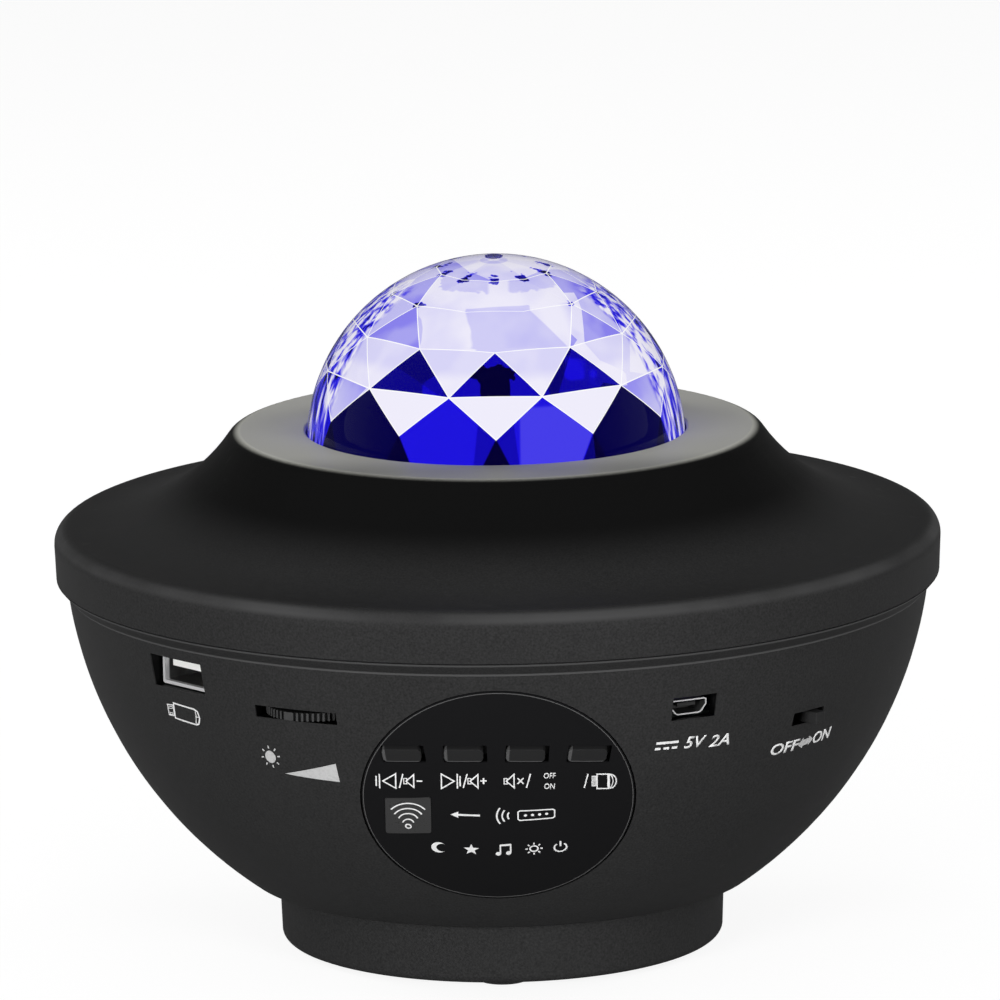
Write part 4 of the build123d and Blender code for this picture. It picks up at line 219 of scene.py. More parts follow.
class Finish:
    """A node tree with one call for any node; materials, the floor and the world use it."""

    def __init__(self, owner):
        owner.use_nodes = True
        self.owner = owner
        self.tree = owner.node_tree
        self.tree.nodes.clear()

    def node(self, kind, inputs=None, stops=(), **settings):
        made = self.tree.nodes.new("ShaderNode" + kind)
        for key, value in settings.items():
            setattr(made, key, value)
        if stops:
            self.set_stops(made.color_ramp, stops)
        for key, value in (inputs or {}).items():
            value = value.socket if isinstance(value, Num) else value
            if isinstance(value, bpy.types.NodeSocket):
                self.tree.links.new(value, made.inputs[key])
            else:
                made.inputs[key].default_value = value
        return made

    @staticmethod
    def set_stops(ramp, stops):
        """Stops of a ramp as (position, colour)."""
        while len(ramp.elements) < len(stops):
            ramp.elements.new(1.0)
        for element, (position, colour) in zip(ramp.elements, stops):
            element.position = position
            element.color = rgba(colour)

    @property
    def place(self):
        return self.node("TexCoord").outputs["Object"]

    def axes(self):
        parts = self.node("SeparateXYZ", {0: self.place})
        return [Num(self, socket) for socket in parts.outputs]

    def stretched(self, scale):
        """Object coordinates stretched."""
        return self.node("Mapping", {"Vector": self.place, "Scale": scale}).outputs[0]

    # sizes of textures are in millimetres
    def noise(self, size, detail=3.0, vector=None, distortion=0.0):
        inputs = {"Vector": vector or self.place, "Scale": 1 / (size * MM), "Detail": detail,
                  "Distortion": distortion}
        return Num(self, self.node("TexNoise", inputs).outputs[0])

    def cells(self, size, feature="F1", vector=None, output="Distance"):
        inputs = {"Vector": vector or self.place, "Scale": 1 / (size * MM)}
        made = self.node("TexVoronoi", inputs, feature=feature).outputs[output]
        return made if output == "Color" else Num(self, made)

    def mix(self, factor, *colours):
        """Colour between two others."""
        first, second = [each if isinstance(each, bpy.types.NodeSocket) else rgba(each) for each in colours]
        return self.node("Mix", {0: factor, 6: first, 7: second}, data_type="RGBA").outputs[2]

    def blend(self, factor, first, second):
        """Shader between two others."""
        return self.node("MixShader", {0: factor, 1: first.outputs[0], 2: second.outputs[0]})

    def seen(self):
        """1 for what the camera sees, itself or through clear plastic."""
        path = self.node("LightPath").outputs
        return Num(self, path["Is Camera Ray"]).larger(path["Is Transmission Ray"])

    def bump(self, height, depth, strength=1.0):
        """Normal raised by a height from 0 to 1 over a depth in millimetres."""
        return self.node("Bump", {"Height": height, "Distance": depth * MM, "Strength": strength}).outputs[0]

    def shade(self, **sockets):
        """The surface itself; outside SOCKETS, a name's underscores stand for the socket's spaces."""
        inputs = {SOCKETS.get(key, key.replace("_", " ")): value for key, value in sockets.items()}
        shader = self.node("BsdfPrincipled", inputs)
        self.node("OutputMaterial", {"Surface": shader.outputs[0]})
        return self.owner

    def satin(self, colour, fine, gloss=0.1):
        """Finely grained black moulding."""
        return self.shade(colour=colour, rough=0.42 + fine * 0.1, gloss=gloss, normal=self.bump(fine, 0.01))


SOCKETS = {"colour": "Base Color", "rough": "Roughness", "gloss": "Specular IOR Level", "normal": "Normal"}


def new_finish(name):
    return Finish(bpy.data.materials.new(name))


# ================================================================ finishes
def moulded(name, colour, rough=0.45, grain=0.4, depth=0.012, tint=0.12, gloss=0.25):
    """Moulded plastic: fine spark-eroded grain, faint cloudiness and a few rubbed spots."""
    f = new_finish(name)
    fine = f.noise(grain, 4.0)
    cloud = f.noise(18, 3.0)
    rub = f.noise(2.6, 5.0).rise(0.62, 0.75)
    shade = f.mix(cloud * tint + fine * 0.1, colour, scaled(colour, 1.5, 0.003))
    roughness = rough + (fine - 0.5) * 0.12 + (cloud - 0.5) * 0.08 - rub * 0.05
    return f.shade(
        colour=shade, rough=roughness, gloss=gloss, IOR=1.5,
        normal=f.bump(fine, depth))


def metal(name, colour, rough=0.28, along=(0, 0, 0), stretch=12.0, size=0.25, shine=1.0):
    """Drawn or ground metal: streaks along one axis, cloudy tarnish and small pits."""
    f = new_finish(name)
    scale = [1 / stretch if axis else 1.0 for axis in along]
    streaks = f.noise(size, 3.0, f.stretched(scale))
    tarnish = f.noise(4, 4.0)
    pits = f.noise(0.5, 2.0).rise(0.68, 0.78)
    dull = scaled(colour, 0.72)
    return f.shade(
        colour=f.mix(tarnish.rise(0.35, 0.75) * 0.6 + pits * 0.3, colour, dull),
        Metallic=shine, rough=rough + (streaks - 0.5) * 0.2 + tarnish * 0.06,
        normal=f.bump(streaks - pits * 0.5, 0.006))


def housing_finish(name, settings, top):
    """Satin black housing; the cover's ledge round the dome is a lighter, finer band. Painted shade darkens
    the neck, the ledge's front and the walls of the openings; painted highlights lie along the band's upper
    edge and the lip's edges.
    """
    f = new_finish(name)
    x, y, z = f.axes()
    grain = settings.grain / MM
    fine = f.noise(grain, 5.0)
    speck = f.cells(grain * 0.8)
    cloud = f.noise(30, 3.0)
    rub = f.noise(3.5, 6.0).rise(0.64, 0.78)
    black = settings.colour
    base = f.mix(cloud * 0.25 + (fine - 0.35) * 1.6, scaled(black, 0.75), scaled(black, 1.7))
    rough = 0.44 + (fine - 0.5) * 0.1 + (cloud - 0.5) * 0.08 - rub * 0.06
    if top:
        across = (x * x + y * y) ** 0.5
        ledge = z.rise(LEDGE_Z - 1.1 * MM, LEDGE_Z - 0.3 * MM) * across.rise(50.2 * MM, 48.6 * MM)
        # painted highlight along the band's rounded upper edge, broken up by the cloudy noise
        edge = z.band(RIM_TOP_Z - 2.6 * MM, RIM_TOP_Z - 1.4 * MM, RIM_TOP_Z - 0.7 * MM, RIM_TOP_Z)
        base = f.mix(edge * cloud.rise(0.3, 0.6) * 0.7 + edge * 0.3, base, scaled(black, 2.5))
        # painted shade: the steep neck below the ledge is darker
        neck = z.rise(LEDGE_Z - 16.5 * MM, LEDGE_Z - 8 * MM) * (1 - ledge)
        base = f.mix(neck, base, scaled(black, 0.16))
        # painted shade: the ledge is darker at its front
        front = y.rise(-24 * MM, -42 * MM)
        grey = settings.ledge_colour
        base = f.mix(ledge, base, f.mix(front, grey, scaled(grey, 0.56)))
        rough = rough + ledge * 0.06
    else:
        # painted shade darkens the walls of the openings, and painted highlights are light lines along the
        # lip's edges
        opening_shade = skin_depth(x, y, z).rise(0.2 * MM, 0.45 * MM)
        opening_shade = opening_shade * z.band(JOIN_Z, JOIN_Z + 1 * MM, LIP_Z - 0.5 * MM, LIP_Z - 0.1 * MM)
        base = f.mix(opening_shade, base, scaled(black, 0.06))
        # painted highlights along the lip's lower and upper edges
        low_highlight = z.band(LIP_Z - 0.08 * MM, LIP_Z + 0.02 * MM, LIP_Z + 0.3 * MM, LIP_Z + 0.5 * MM)
        high_highlight = z.rise(PART_Z - 0.5 * MM, PART_Z - 0.3 * MM)
        base = f.mix(low_highlight * 0.9 + high_highlight * 0.75, base, scaled(black, 4.2))
    return f.shade(
        colour=base, rough=rough, gloss=0.1, IOR=1.5,
        normal=f.bump(fine * 0.7 + speck * 0.3, 0.014))


def clear_finish(name, colour=(1, 1, 1), rough=0.0, ior=1.49, sheen=1.0):
    """Clear moulded plastic with faint flow marks."""
    f = new_finish(name)
    flow = f.noise(9, 2.0, f.stretched((1, 1, 0.4)))
    return f.shade(
        colour=rgba(colour), rough=rough, IOR=ior, Transmission_Weight=1.0, Specular_Tint=rgba(sheen),
        normal=f.bump(flow, 0.004, 0.2))


def board_finish(name, colour):
    """Lacquered board: buried tracks, glass weave and small plated holes."""
    f = new_finish(name)
    tracks = f.cells(3.2, "DISTANCE_TO_EDGE").rise(0.09, 0.05)
    weave = f.noise(0.35, 2.0)
    holes = f.cells(4.1).rise(0.11, 0.09)
    lighter = scaled(colour, 1.7, 0.01)
    lacquer = f.mix(tracks * 0.8 + weave * 0.15, colour, lighter)
    return f.shade(
        colour=f.mix(holes, lacquer, (0.55, 0.5, 0.38)), rough=0.32 + weave * 0.12,
        gloss=0.5, normal=f.bump(tracks * 0.7 + weave * 0.3 - holes, 0.02))


def glowing_facets(name, settings):
    """Lit inner facets: a tone for each facet, broken up by the lamp's patches of light."""
    f = new_finish(name)
    tone = Num(f, f.node("Attribute", attribute_name="tone").outputs["Fac"])
    x, y, z = f.axes()
    up = (z - DOME_Z) / MM
    right = x / MM
    side = abs(x) / MM
    across = (x * x + y * y) ** 0.5
    # distance in millimetres from the nearest upright line through the lowest corners
    step = 2 * pi / settings.facets
    turn = (y.math("ARCTAN2", y, x) + pi / 2) / step + 0.5
    round_mm = across * (step / MM)
    away = abs((turn.of("FRACT") - 0.5) * round_mm)
    bright = tone.rise(0.5, 0.7)

    bend = f.noise(9, 2.0)
    nick = f.noise(1.2, 1.0)
    wobble = nick * 1.6
    patches = f.cells(13, vector=f.stretched((1, 1, 0.8)), output="Color")
    patch = Num(f, f.node("SeparateColor", {0: patches}).outputs[0])
    lilac = (patch.rise(0.46, 0.49) * 0.16 + bend.rise(0.42, 0.6) * 0.06) * (1.0 - tone) * 9.0
    lilac = lilac * (1 - side.rise(24.0, 30.0) * 0.5)
    first, second, third = LOW_CORNERS
    third_row = up.band(second, second + 0.1, third, third + 0.1)
    lilac = lilac * (1 - third_row * 0.5) + third_row * (up.rise(16.5, 19.0) * 0.08 - 0.08)
    # blue rows: a dark figure in each, and a paler right part in the facet right of the front
    base_row = up.rise(first + 6.0, first + 5.0)
    wedge = (away - (first - up) * 0.5).rise(0.25, -0.25)
    front = side.rise(9.0, 8.0)
    strip = (away + up * 0.12).rise(4.6, 4.3) * front
    pale = x.rise(4.0 * MM, 4.6 * MM) * strip.math("LESS_THAN", strip, 0.5) * tone.rise(0.1, 0.3)
    base = base_row * (pale * 0.16 - strip * 0.12 - wedge * 0.4)
    stem = (away + wobble * 0.4).rise(3.1, 2.9) * up.rise(19.0, 18.8)
    cap = ((away * away * 0.14 + (up - 18.1) * (up - 18.1)) ** 0.5 + wobble).rise(2.4, 2.2)
    fold = (patch.rise(0.5, 0.53) + bend.rise(0.5, 0.54)) * 0.1
    figure = third_row * (stem.larger(cap) * front * 0.24 + fold * (1 - front))
    level = tone - (lilac - 0.1) * bright + (base - figure) * (1 - bright)
    # straight-edged patches in the two broad facets above the dark row
    broad = abs(tone - BROAD_TONE).rise(0.006, 0.004)
    bent = right + (bend - 0.5) * 6.0
    drop = BROAD_EDGE - up
    block = bent.rise(-5.0, -4.6) * (right - drop * 1.15).rise(6.4, 6.0)
    strips = bent.rise(-12.6, -13.0) + (right - drop * 0.5).rise(11.0, 14.5)
    beside = abs(right - 0.8)
    pair = beside.rise(1.4, 2.2) * (beside + nick * 3.0).rise(12.0, 11.6) * (up + nick * 1.2).rise(30.6, 30.9)
    under = drop.rise(-0.05, 0.05)
    spots = under * (block * 0.85 + strips) + (1 - under) * pair * up.rise(32.0, 31.8) * 0.9
    level = level * (1 - broad) + broad * (0.99 - spots * 0.14 - (bend - 0.45).larger(0.0) * 0.25)
    # painted reflections: streaks at both sides, where the clear wall is seen along its length
    streaks = f.noise(1.6, 2.0, f.stretched((1, 1, 0.12)))
    wall = (abs(y) / across).rise(0.42, 0.3) * up.rise(30.0, 26.0)
    level = level + wall * ((streaks - 0.5) * 3.4 + (0.55 - tone) * 0.6)
    # dark stars at the upper corners, and thin rings round the gate
    for latitude, shift, near in STAR_CORNERS:
        above = up - settings.facet_radius / MM * sin(radians(latitude))
        beside = ((turn + shift).of("FRACT") - 0.5) * round_mm
        star = (beside * beside * 0.4 + above * above * 2.2) ** 0.5
        level = level - (star + wobble).rise(1.45, 1.15) * side.rise(near, near + 1) * 0.75
    rings = (across * 900.0).of("SINE").rise(0.7, 0.9)
    level = level - up.rise(32.2, 32.4) * rings * 0.12
    stops = [(0.0, settings.dark), (0.15, scaled(settings.deep, 0.35)), (0.3, settings.deep),
             (0.42, (0.02, 0.012, 0.77)), (0.52, (0.07, 0.055, 0.83)), (0.65, (0.25, 0.22, 0.86)),
             (0.8, settings.middle), (1.0, settings.light)]
    ramp = f.node("ValToRGB", {0: level.larger(0.0)}, stops)
    return f.shade(
        colour=rgba(0.0), rough=0.3, gloss=0.0,
        Emission_Color=ramp.outputs[0], Emission_Strength=1.0,
        normal=f.bump(bend, 0.01))


def edge_light(name, settings):
    """Bright line along the facets' edges."""
    f = new_finish(name)
    flicker = f.noise(4, 3.0)
    glow = f.mix(flicker.rise(0.3, 0.45) * 0.6 + 0.4, settings.light, (1, 1, 1))
    return f.shade(
        colour=rgba(0.0), rough=0.3 + flicker * 0.1, Emission_Color=glow,
        Emission_Strength=1.0, gloss=0.2)


def ink_finish(name, colour):
    """Screen-printed ink: slightly uneven cover and a faint mesh texture."""
    f = new_finish(name)
    cover = f.noise(0.5, 3.0)
    mesh = f.noise(0.12, 2.0)
    thin = scaled(colour, 0.82)
    return f.shade(
        colour=f.mix(cover.rise(0.4, 0.75) * 0.7, colour, thin), rough=0.55 + mesh * 0.15,
        gloss=0.3, normal=f.bump(mesh, 0.004))


def rubber_finish(name, colour):
    f = new_finish(name)
    fine = f.noise(0.3, 5.0)
    dust = f.noise(3, 5.0).rise(0.5, 0.8)
    return f.shade(
        colour=f.mix(dust * 0.35, colour, (0.1, 0.1, 0.095)), rough=0.78 + fine * 0.12,
        gloss=0.3, Sheen_Weight=0.1, normal=f.bump(fine, 0.02))


def paper_cone(name):
    """Pressed paper: fibres run round the cone."""
    f = new_finish(name)
    fibre = f.noise(0.5, 6.0, distortion=1.5)
    felt = f.noise(2.2, 4.0)
    return f.shade(
        colour=f.mix(fibre * 0.5 + felt * 0.3, 0.03, (0.075, 0.072, 0.068)),
        rough=0.85 - fibre * 0.1, gloss=0.25, normal=f.bump(fibre, 0.05))


def button_finish(name):
    """Black caps with painted highlights along their edges."""
    f = new_finish(name)
    x, y, z = f.axes()
    place = skin_place(0, drop=PANEL_DROP)
    along, up = [place.col[i].xyz for i in range(2)]
    origin = place.translation
    offset = [x - origin.x, y - origin.y, z - origin.z]
    u, v = [offset[0] * axis.x + offset[1] * axis.y + offset[2] * axis.z for axis in (along, up)]
    # painted highlight: a light band just inside each cap's outline, made uneven by noise
    edge = 0
    for node in ("button_previous", "button_play", "button_mute", "button_source"):
        low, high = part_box(node)
        middle = (low.x + high.x) / 2
        lean = asin((BUTTON_ROW_TOP_X - middle) / BUTTON_ROW_R)
        rise = BUTTON_ROW_Y - BUTTON_ROW_R * (1 - cos(lean))
        sideways = (u - middle) * cos(lean) + (v - rise) * sin(lean)
        down = (u - middle) * sin(lean) - (v - rise) * cos(lean)
        rim = (abs(sideways) - BUTTON_W / 2).larger(down - BUTTON_H / 2)
        edge = rim.rise(-0.36 * MM, -0.24 * MM) * rim.rise(2 * MM, 1 * MM) + edge
    fine = f.noise(0.3, 4.0)
    highlight_noise = f.noise(2.5, 3.0)
    colour = f.mix(edge * (highlight_noise * 0.3 + 0.75), (0.015, 0.015, 0.0153), (0.075, 0.075, 0.076))
    return f.satin(f.mix(fine * 0.1, colour, (0.04, 0.04, 0.041)), fine, 0.15)


def skin_depth(x, y, z):
    """Depth below the bowl's round side, as a number socket."""
    down = ARC_Z - z
    return (ARC_R * ARC_R - down * down) ** 0.5 + ARC_X - (x * x + y * y) ** 0.5


def knob_finish(name):
    """Black slide knob, rubbed where a finger meets it, with painted shade in its slot."""
    f = new_finish(name)
    depth = skin_depth(*f.axes())
    # painted shade: the knob is nearly black where it sits deep in its slot
    inside = depth.rise(1.2 * MM, 1.9 * MM)
    fine = f.noise(0.3, 4.0)
    rubbed = f.noise(1.2, 3.0)
    colour = f.mix(rubbed * 0.4, (0.02, 0.02, 0.0203), (0.034, 0.034, 0.0343))
    return f.satin(f.mix(inside, colour, 0.001), fine)


def socket_shell(name, angle, mouth, reach):
    """Bright sheet at a socket's mouth, with painted shade from a reach behind it."""
    f = new_finish(name)
    x, y, _ = f.axes()
    turn = radians(angle)
    depth = mouth - (x * sin(turn) - y * cos(turn))
    # painted shade: dark and no longer metallic beyond the reach
    inside = depth.rise(reach, reach * 1.5)
    brushed = f.noise(0.25, 3.0, f.stretched((1, 1, 0.2)))
    dirt = f.noise(1.5, 4.0)
    colour = f.mix(inside, (0.8, 0.8, 0.81), 0.008)
    return f.shade(
        colour=f.mix(dirt * 0.2, colour, 0.3), Metallic=0.4 - inside * 0.4,
        rough=0.3 + brushed * 0.15 + inside * 0.2, normal=f.bump(brushed, 0.004))


def wheel_finish(name):
    """Black wheel, lighter on the ribs' outer faces than in the grooves between them."""
    f = new_finish(name)
    x, y, _ = f.axes()
    low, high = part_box("brightness_wheel")
    right, back = x - (low.x + high.x) / 2, y - (low.y + high.y) / 2
    reach = (right * right + back * back) ** 0.5
    radius = (high.x - low.x) / 2
    fine = f.noise(0.3, 4.0)
    rubbed = f.noise(3, 2.0)
    # the ribs' outer faces are drawn lighter than the grooves between them
    ribs = reach.rise(radius - 0.22 * MM, radius - 0.08 * MM)
    return f.satin(f.mix(ribs * (0.7 + rubbed * 0.5), 0.011, (0.05, 0.05, 0.0505)), fine)


def ferrite(name):
    f = new_finish(name)
    grit = f.noise(0.35, 6.0)
    chips = f.cells(1.8).rise(0.2, 0.1)
    return f.shade(
        colour=f.mix(grit, (0.035, 0.034, 0.036), (0.085, 0.083, 0.085)),
        rough=0.6 + grit * 0.2, gloss=0.5, normal=f.bump(grit - chips * 0.4, 0.04))


def capacitor_sleeve(name):
    """Shrink sleeve with a pale stripe, and a bare pressed top."""
    f = new_finish(name)
    _, y, z = f.axes()
    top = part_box("board_capacitors")[1].z
    bare = z.rise(top - 0.35 * MM, top - 0.25 * MM)
    stripe = (y * 900.0).of("SINE").rise(0.8, 0.85)
    sleeve = f.mix(stripe, (0.02, 0.022, 0.05), (0.5, 0.5, 0.52))
    wrap = f.noise(0.8, 3.0)
    return f.shade(
        colour=f.mix(bare, sleeve, (0.7, 0.7, 0.71)), Metallic=bare,
        rough=0.38 - bare * 0.1 + wrap * 0.1,
        normal=f.bump(wrap, 0.01))


def phosphor(name):
    f = new_finish(name)
    grain = f.noise(0.15, 4.0)
    cloud = f.noise(1.1, 2.0)
    return f.shade(
        colour=f.mix(cloud, (0.92, 0.86, 0.42), (0.98, 0.94, 0.62)), rough=0.35 + grain * 0.15,
        gloss=0.4, normal=f.bump(grain, 0.01))


# ================================================================ modelling helpers
def millimetres(*values):
    return Vector(values) * MM


def begin():
    """Nothing is selected and nothing is in edit mode."""
    if bpy.context.mode != "OBJECT":
        bpy.ops.object.mode_set(mode="OBJECT")
    bpy.ops.object.select_all(action="DESELECT")


def taken(name):
    """The object that was just added, under its own name."""
    made = bpy.context.view_layer.objects.active
    made.name = name
    made.data.name = name
    return made


def ends(piece, edge):
    """Places of an edge's two corners."""
    return [piece.data.vertices[i].co for i in edge.vertices]


def pick(*objects):
    begin()
    for each in objects:
        each.select_set(True)
    bpy.context.view_layer.objects.active = objects[0]
    return objects[0]


def edit(all_selected=True):
    bpy.ops.object.mode_set(mode="EDIT")
    bpy.ops.mesh.select_all(action="SELECT" if all_selected else "DESELECT")


def leave():
    """Back to object mode, with vertices as what is picked next."""
    bpy.ops.mesh.select_mode(type="VERT")
    bpy.ops.object.mode_set(mode="OBJECT")


def choose(piece, kind, test):
    """Edit mode, with just the edges or faces selected that pass a test."""
    pick(piece)
    edit(False)
    bpy.ops.mesh.select_mode(type=kind)
    bpy.ops.object.mode_set(mode="OBJECT")
    for each in piece.data.edges if kind == "EDGE" else piece.data.polygons:
        each.select = test(each)
    bpy.ops.object.mode_set(mode="EDIT")


def tidy(piece):
    """Doubles merged and faces turned outwards."""
    pick(piece)
    edit()
    bpy.ops.mesh.remove_doubles(threshold=0.002 * MM)
    bpy.ops.mesh.normals_make_consistent(inside=False)
    leave()
    return piece


def modify(piece, kind, **settings):
    """A modifier that is applied at once."""
    pick(piece)
    added = piece.modifiers.new(kind.title(), kind)
    for key, value in settings.items():
        setattr(added, key, value)
    bpy.ops.object.modifier_apply(modifier=added.name)
    return piece


def join(name, pieces):
    pick(*pieces)
    if len(pieces) > 1:
        bpy.ops.object.join()
    return taken(name)


def settle(piece):
    """The object's place goes into its mesh."""
    pick(piece)
    bpy.ops.object.transform_apply(location=True, rotation=True, scale=True)
    return piece


def lathe(name, profile, steps=96):
    """A closed shape turned about the main axis from (radius, height) points in metres."""
    begin()
    bpy.ops.mesh.primitive_plane_add(size=1 * MM)
    made = taken(name)
    edit()
    bpy.ops.mesh.merge(type="CENTER")
    here = Vector((0, 0, 0))
    for i, (radius, height) in enumerate(profile):
        there = Vector((radius, 0, height))
        if i == 0:
            bpy.ops.transform.translate(value=there - here)
        else:
            bpy.ops.mesh.extrude_region_move(TRANSFORM_OT_translate={"value": there - here})
        here = there
    bpy.ops.mesh.select_all(action="SELECT")
    bpy.ops.mesh.spin(steps=steps, angle=2 * pi, center=(0, 0, 0), axis=(0, 0, 1))
    leave()
    return tidy(made)


def dress(piece, slot, *finishes):
    """A new piece gets its finishes and rides on the housing; the slot is not used."""
    for each in finishes:
        piece.data.materials.append(each)
    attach(piece, BODY)
    return piece


def smooth(piece, angle=30):
    pick(piece)
    bpy.ops.object.shade_smooth_by_angle(angle=radians(angle))
    return piece


# ================================================================ flat marks
def polygon(points, line=0.0):
    """Filled outline from (u, v) points in millimetres, or only its border of a line's width."""
    begin()
    bpy.ops.mesh.primitive_circle_add(vertices=len(points), radius=1 * MM, fill_type="NGON")
    made = taken("mark")
    turns = sum(a[0] * b[1] - b[0] * a[1] for a, b in zip(points, points[1:] + points[:1]))
    corners = points if turns > 0 else points[::-1]
    for vertex, (u, v) in zip(made.data.vertices, corners):
        vertex.co = millimetres(u, v, 0)
    # circle primitives run anticlockwise, and so do the corners
    if line:
        edit()
        bpy.ops.mesh.inset(thickness=line * MM)
        bpy.ops.mesh.delete(type="FACE")
        leave()
    return made


def stroke(u1, v1, u2, v2, width):
    """Straight bar between two points."""
    along = Vector((u2 - u1, v2 - v1)).normalized() * (width / 2)
    side = Vector((-along.y, along.x))
    return polygon([(u1 + side.x, v1 + side.y), (u1 - side.x, v1 - side.y),
                    (u2 - side.x, v2 - side.y), (u2 + side.x, v2 + side.y)])


def disc_points(u, v, radius, start=0, end=360, count=24):
    """Points along an arc."""
    closed = abs(end - start) == 360
    last = count if closed else count - 1
    angles = [radians(start + (end - start) * i / last) for i in range(count)]
    return [(u + radius * cos(a), v + radius * sin(a)) for a in angles]


def arc(u, v, radius, width, start, end, count=16):
    """Curved bar, part of a ring."""
    outer = disc_points(u, v, radius + width / 2, start, end, count)
    inner = disc_points(u, v, radius - width / 2, start, end, count)
    return polygon(outer + inner[::-1])


def ring(u, v, radius, width, count=32):
    return polygon(disc_points(u, v, radius + width / 2, count=count), width)


def words(text, u, v, width, height, slant=0.0, bold=0.0, turn=0.0):
    """Lettering from the built-in face, fitted to a width and a height of capitals."""
    begin()
    bpy.ops.object.text_add()
    made = taken("mark")
    made.data.body = text
    made.data.shear = slant
    made.data.offset = bold
    made.data.resolution_u = 4
    bpy.ops.object.convert(target="MESH")
    made = taken("mark")
    us = [vertex.co.x for vertex in made.data.vertices]
    vs = [vertex.co.y for vertex in made.data.vertices]
    wide, tall = max(us) - min(us), max(vs) - min(vs)
    for vertex in made.data.vertices:
        flat_u = (vertex.co.x - min(us)) / wide * width
        flat_v = (vertex.co.y - min(vs)) / tall * height
        along = Vector((cos(turn), sin(turn))) * flat_u + Vector((-sin(turn), cos(turn))) * flat_v
        vertex.co = millimetres(u + along.x, v + along.y, 0)
    return made


def loudspeaker(u, v, height, lean=0.0):
    """Small loudspeaker sign: its magnet and its open cone."""
    magnet = [(u - 1.02, v - 0.7), (u - 1.02, v + 0.7), (u - 0.28, v + 0.7), (u - 0.28, v - 0.7)]
    horn = [(u - 0.7, v), (u + 1.02, v + height / 2), (u + 1.02, v - height / 2)]
    leaning = [[(a, b + lean * (a - u)) for a, b in shape] for shape in (magnet, horn)]
    return [polygon(leaning[0], 0.17), polygon(leaning[1], 0.24)]


def triangle(tip, base_u, low, high, line):
    return polygon([tip, (base_u, low), (base_u, high)], line)


def bars(width, *ends_of_each):
    """Straight bars of one width, each from its two ends as (u1, v1, u2, v2)."""
    return [stroke(*each, width) for each in ends_of_each]


def skin_place(angle, height=None, drop=None):
    """Matrix whose origin is on the bowl's face and whose Z points out of it."""
    if height is not None:
        below = ARC_Z - height * MM
        drop = atan2(below, sqrt(ARC_R**2 - below**2))
    turn = radians(angle)
    out = Vector((sin(turn), -cos(turn), 0))
    across = Vector((cos(turn), sin(turn), 0))
    normal = out * cos(drop) - Vector((0, 0, sin(drop)))
    origin = out * (ARC_X + ARC_R * cos(drop)) + Vector((0, 0, ARC_Z - ARC_R * sin(drop)))
    up = normal.cross(across)
    turned = Matrix((across, up, normal)).transposed().to_4x4()
    return Matrix.Translation(origin) @ turned


def print_marks(name, marks, place, target, finish, settings, step=1.5):
    """Flat marks laid on a curved face, and given the print's thickness."""
    flat = join(name, marks)
    edit()
    reach = [max(abs(v.co[i]) for v in flat.data.vertices) for i in (0, 1)]
    for axis, far in enumerate(reach):
        count = int(far / (step * MM))
        for i in range(-count, count + 1):
            at = [0, 0, 0]
            toward = [0, 0, 0]
            at[axis] = (i + 0.5) * step * MM
            toward[axis] = 1
            bpy.ops.mesh.select_all(action="SELECT")
            bpy.ops.mesh.bisect(plane_co=at, plane_no=toward)
    bpy.ops.mesh.select_all(action="SELECT")
    bpy.ops.mesh.quads_convert_to_tris()
    leave()
    flat.matrix_world = place @ Matrix.Translation((0, 0, 6 * MM))
    modify(flat, "SHRINKWRAP", target=target, wrap_method="PROJECT", use_project_z=True,
           use_negative_direction=True, use_positive_direction=False)
    modify(flat, "SOLIDIFY", thickness=settings.thickness + 0.03 * MM, offset=0.2)
    settle(flat)
    return dress(flat, "label", finish)


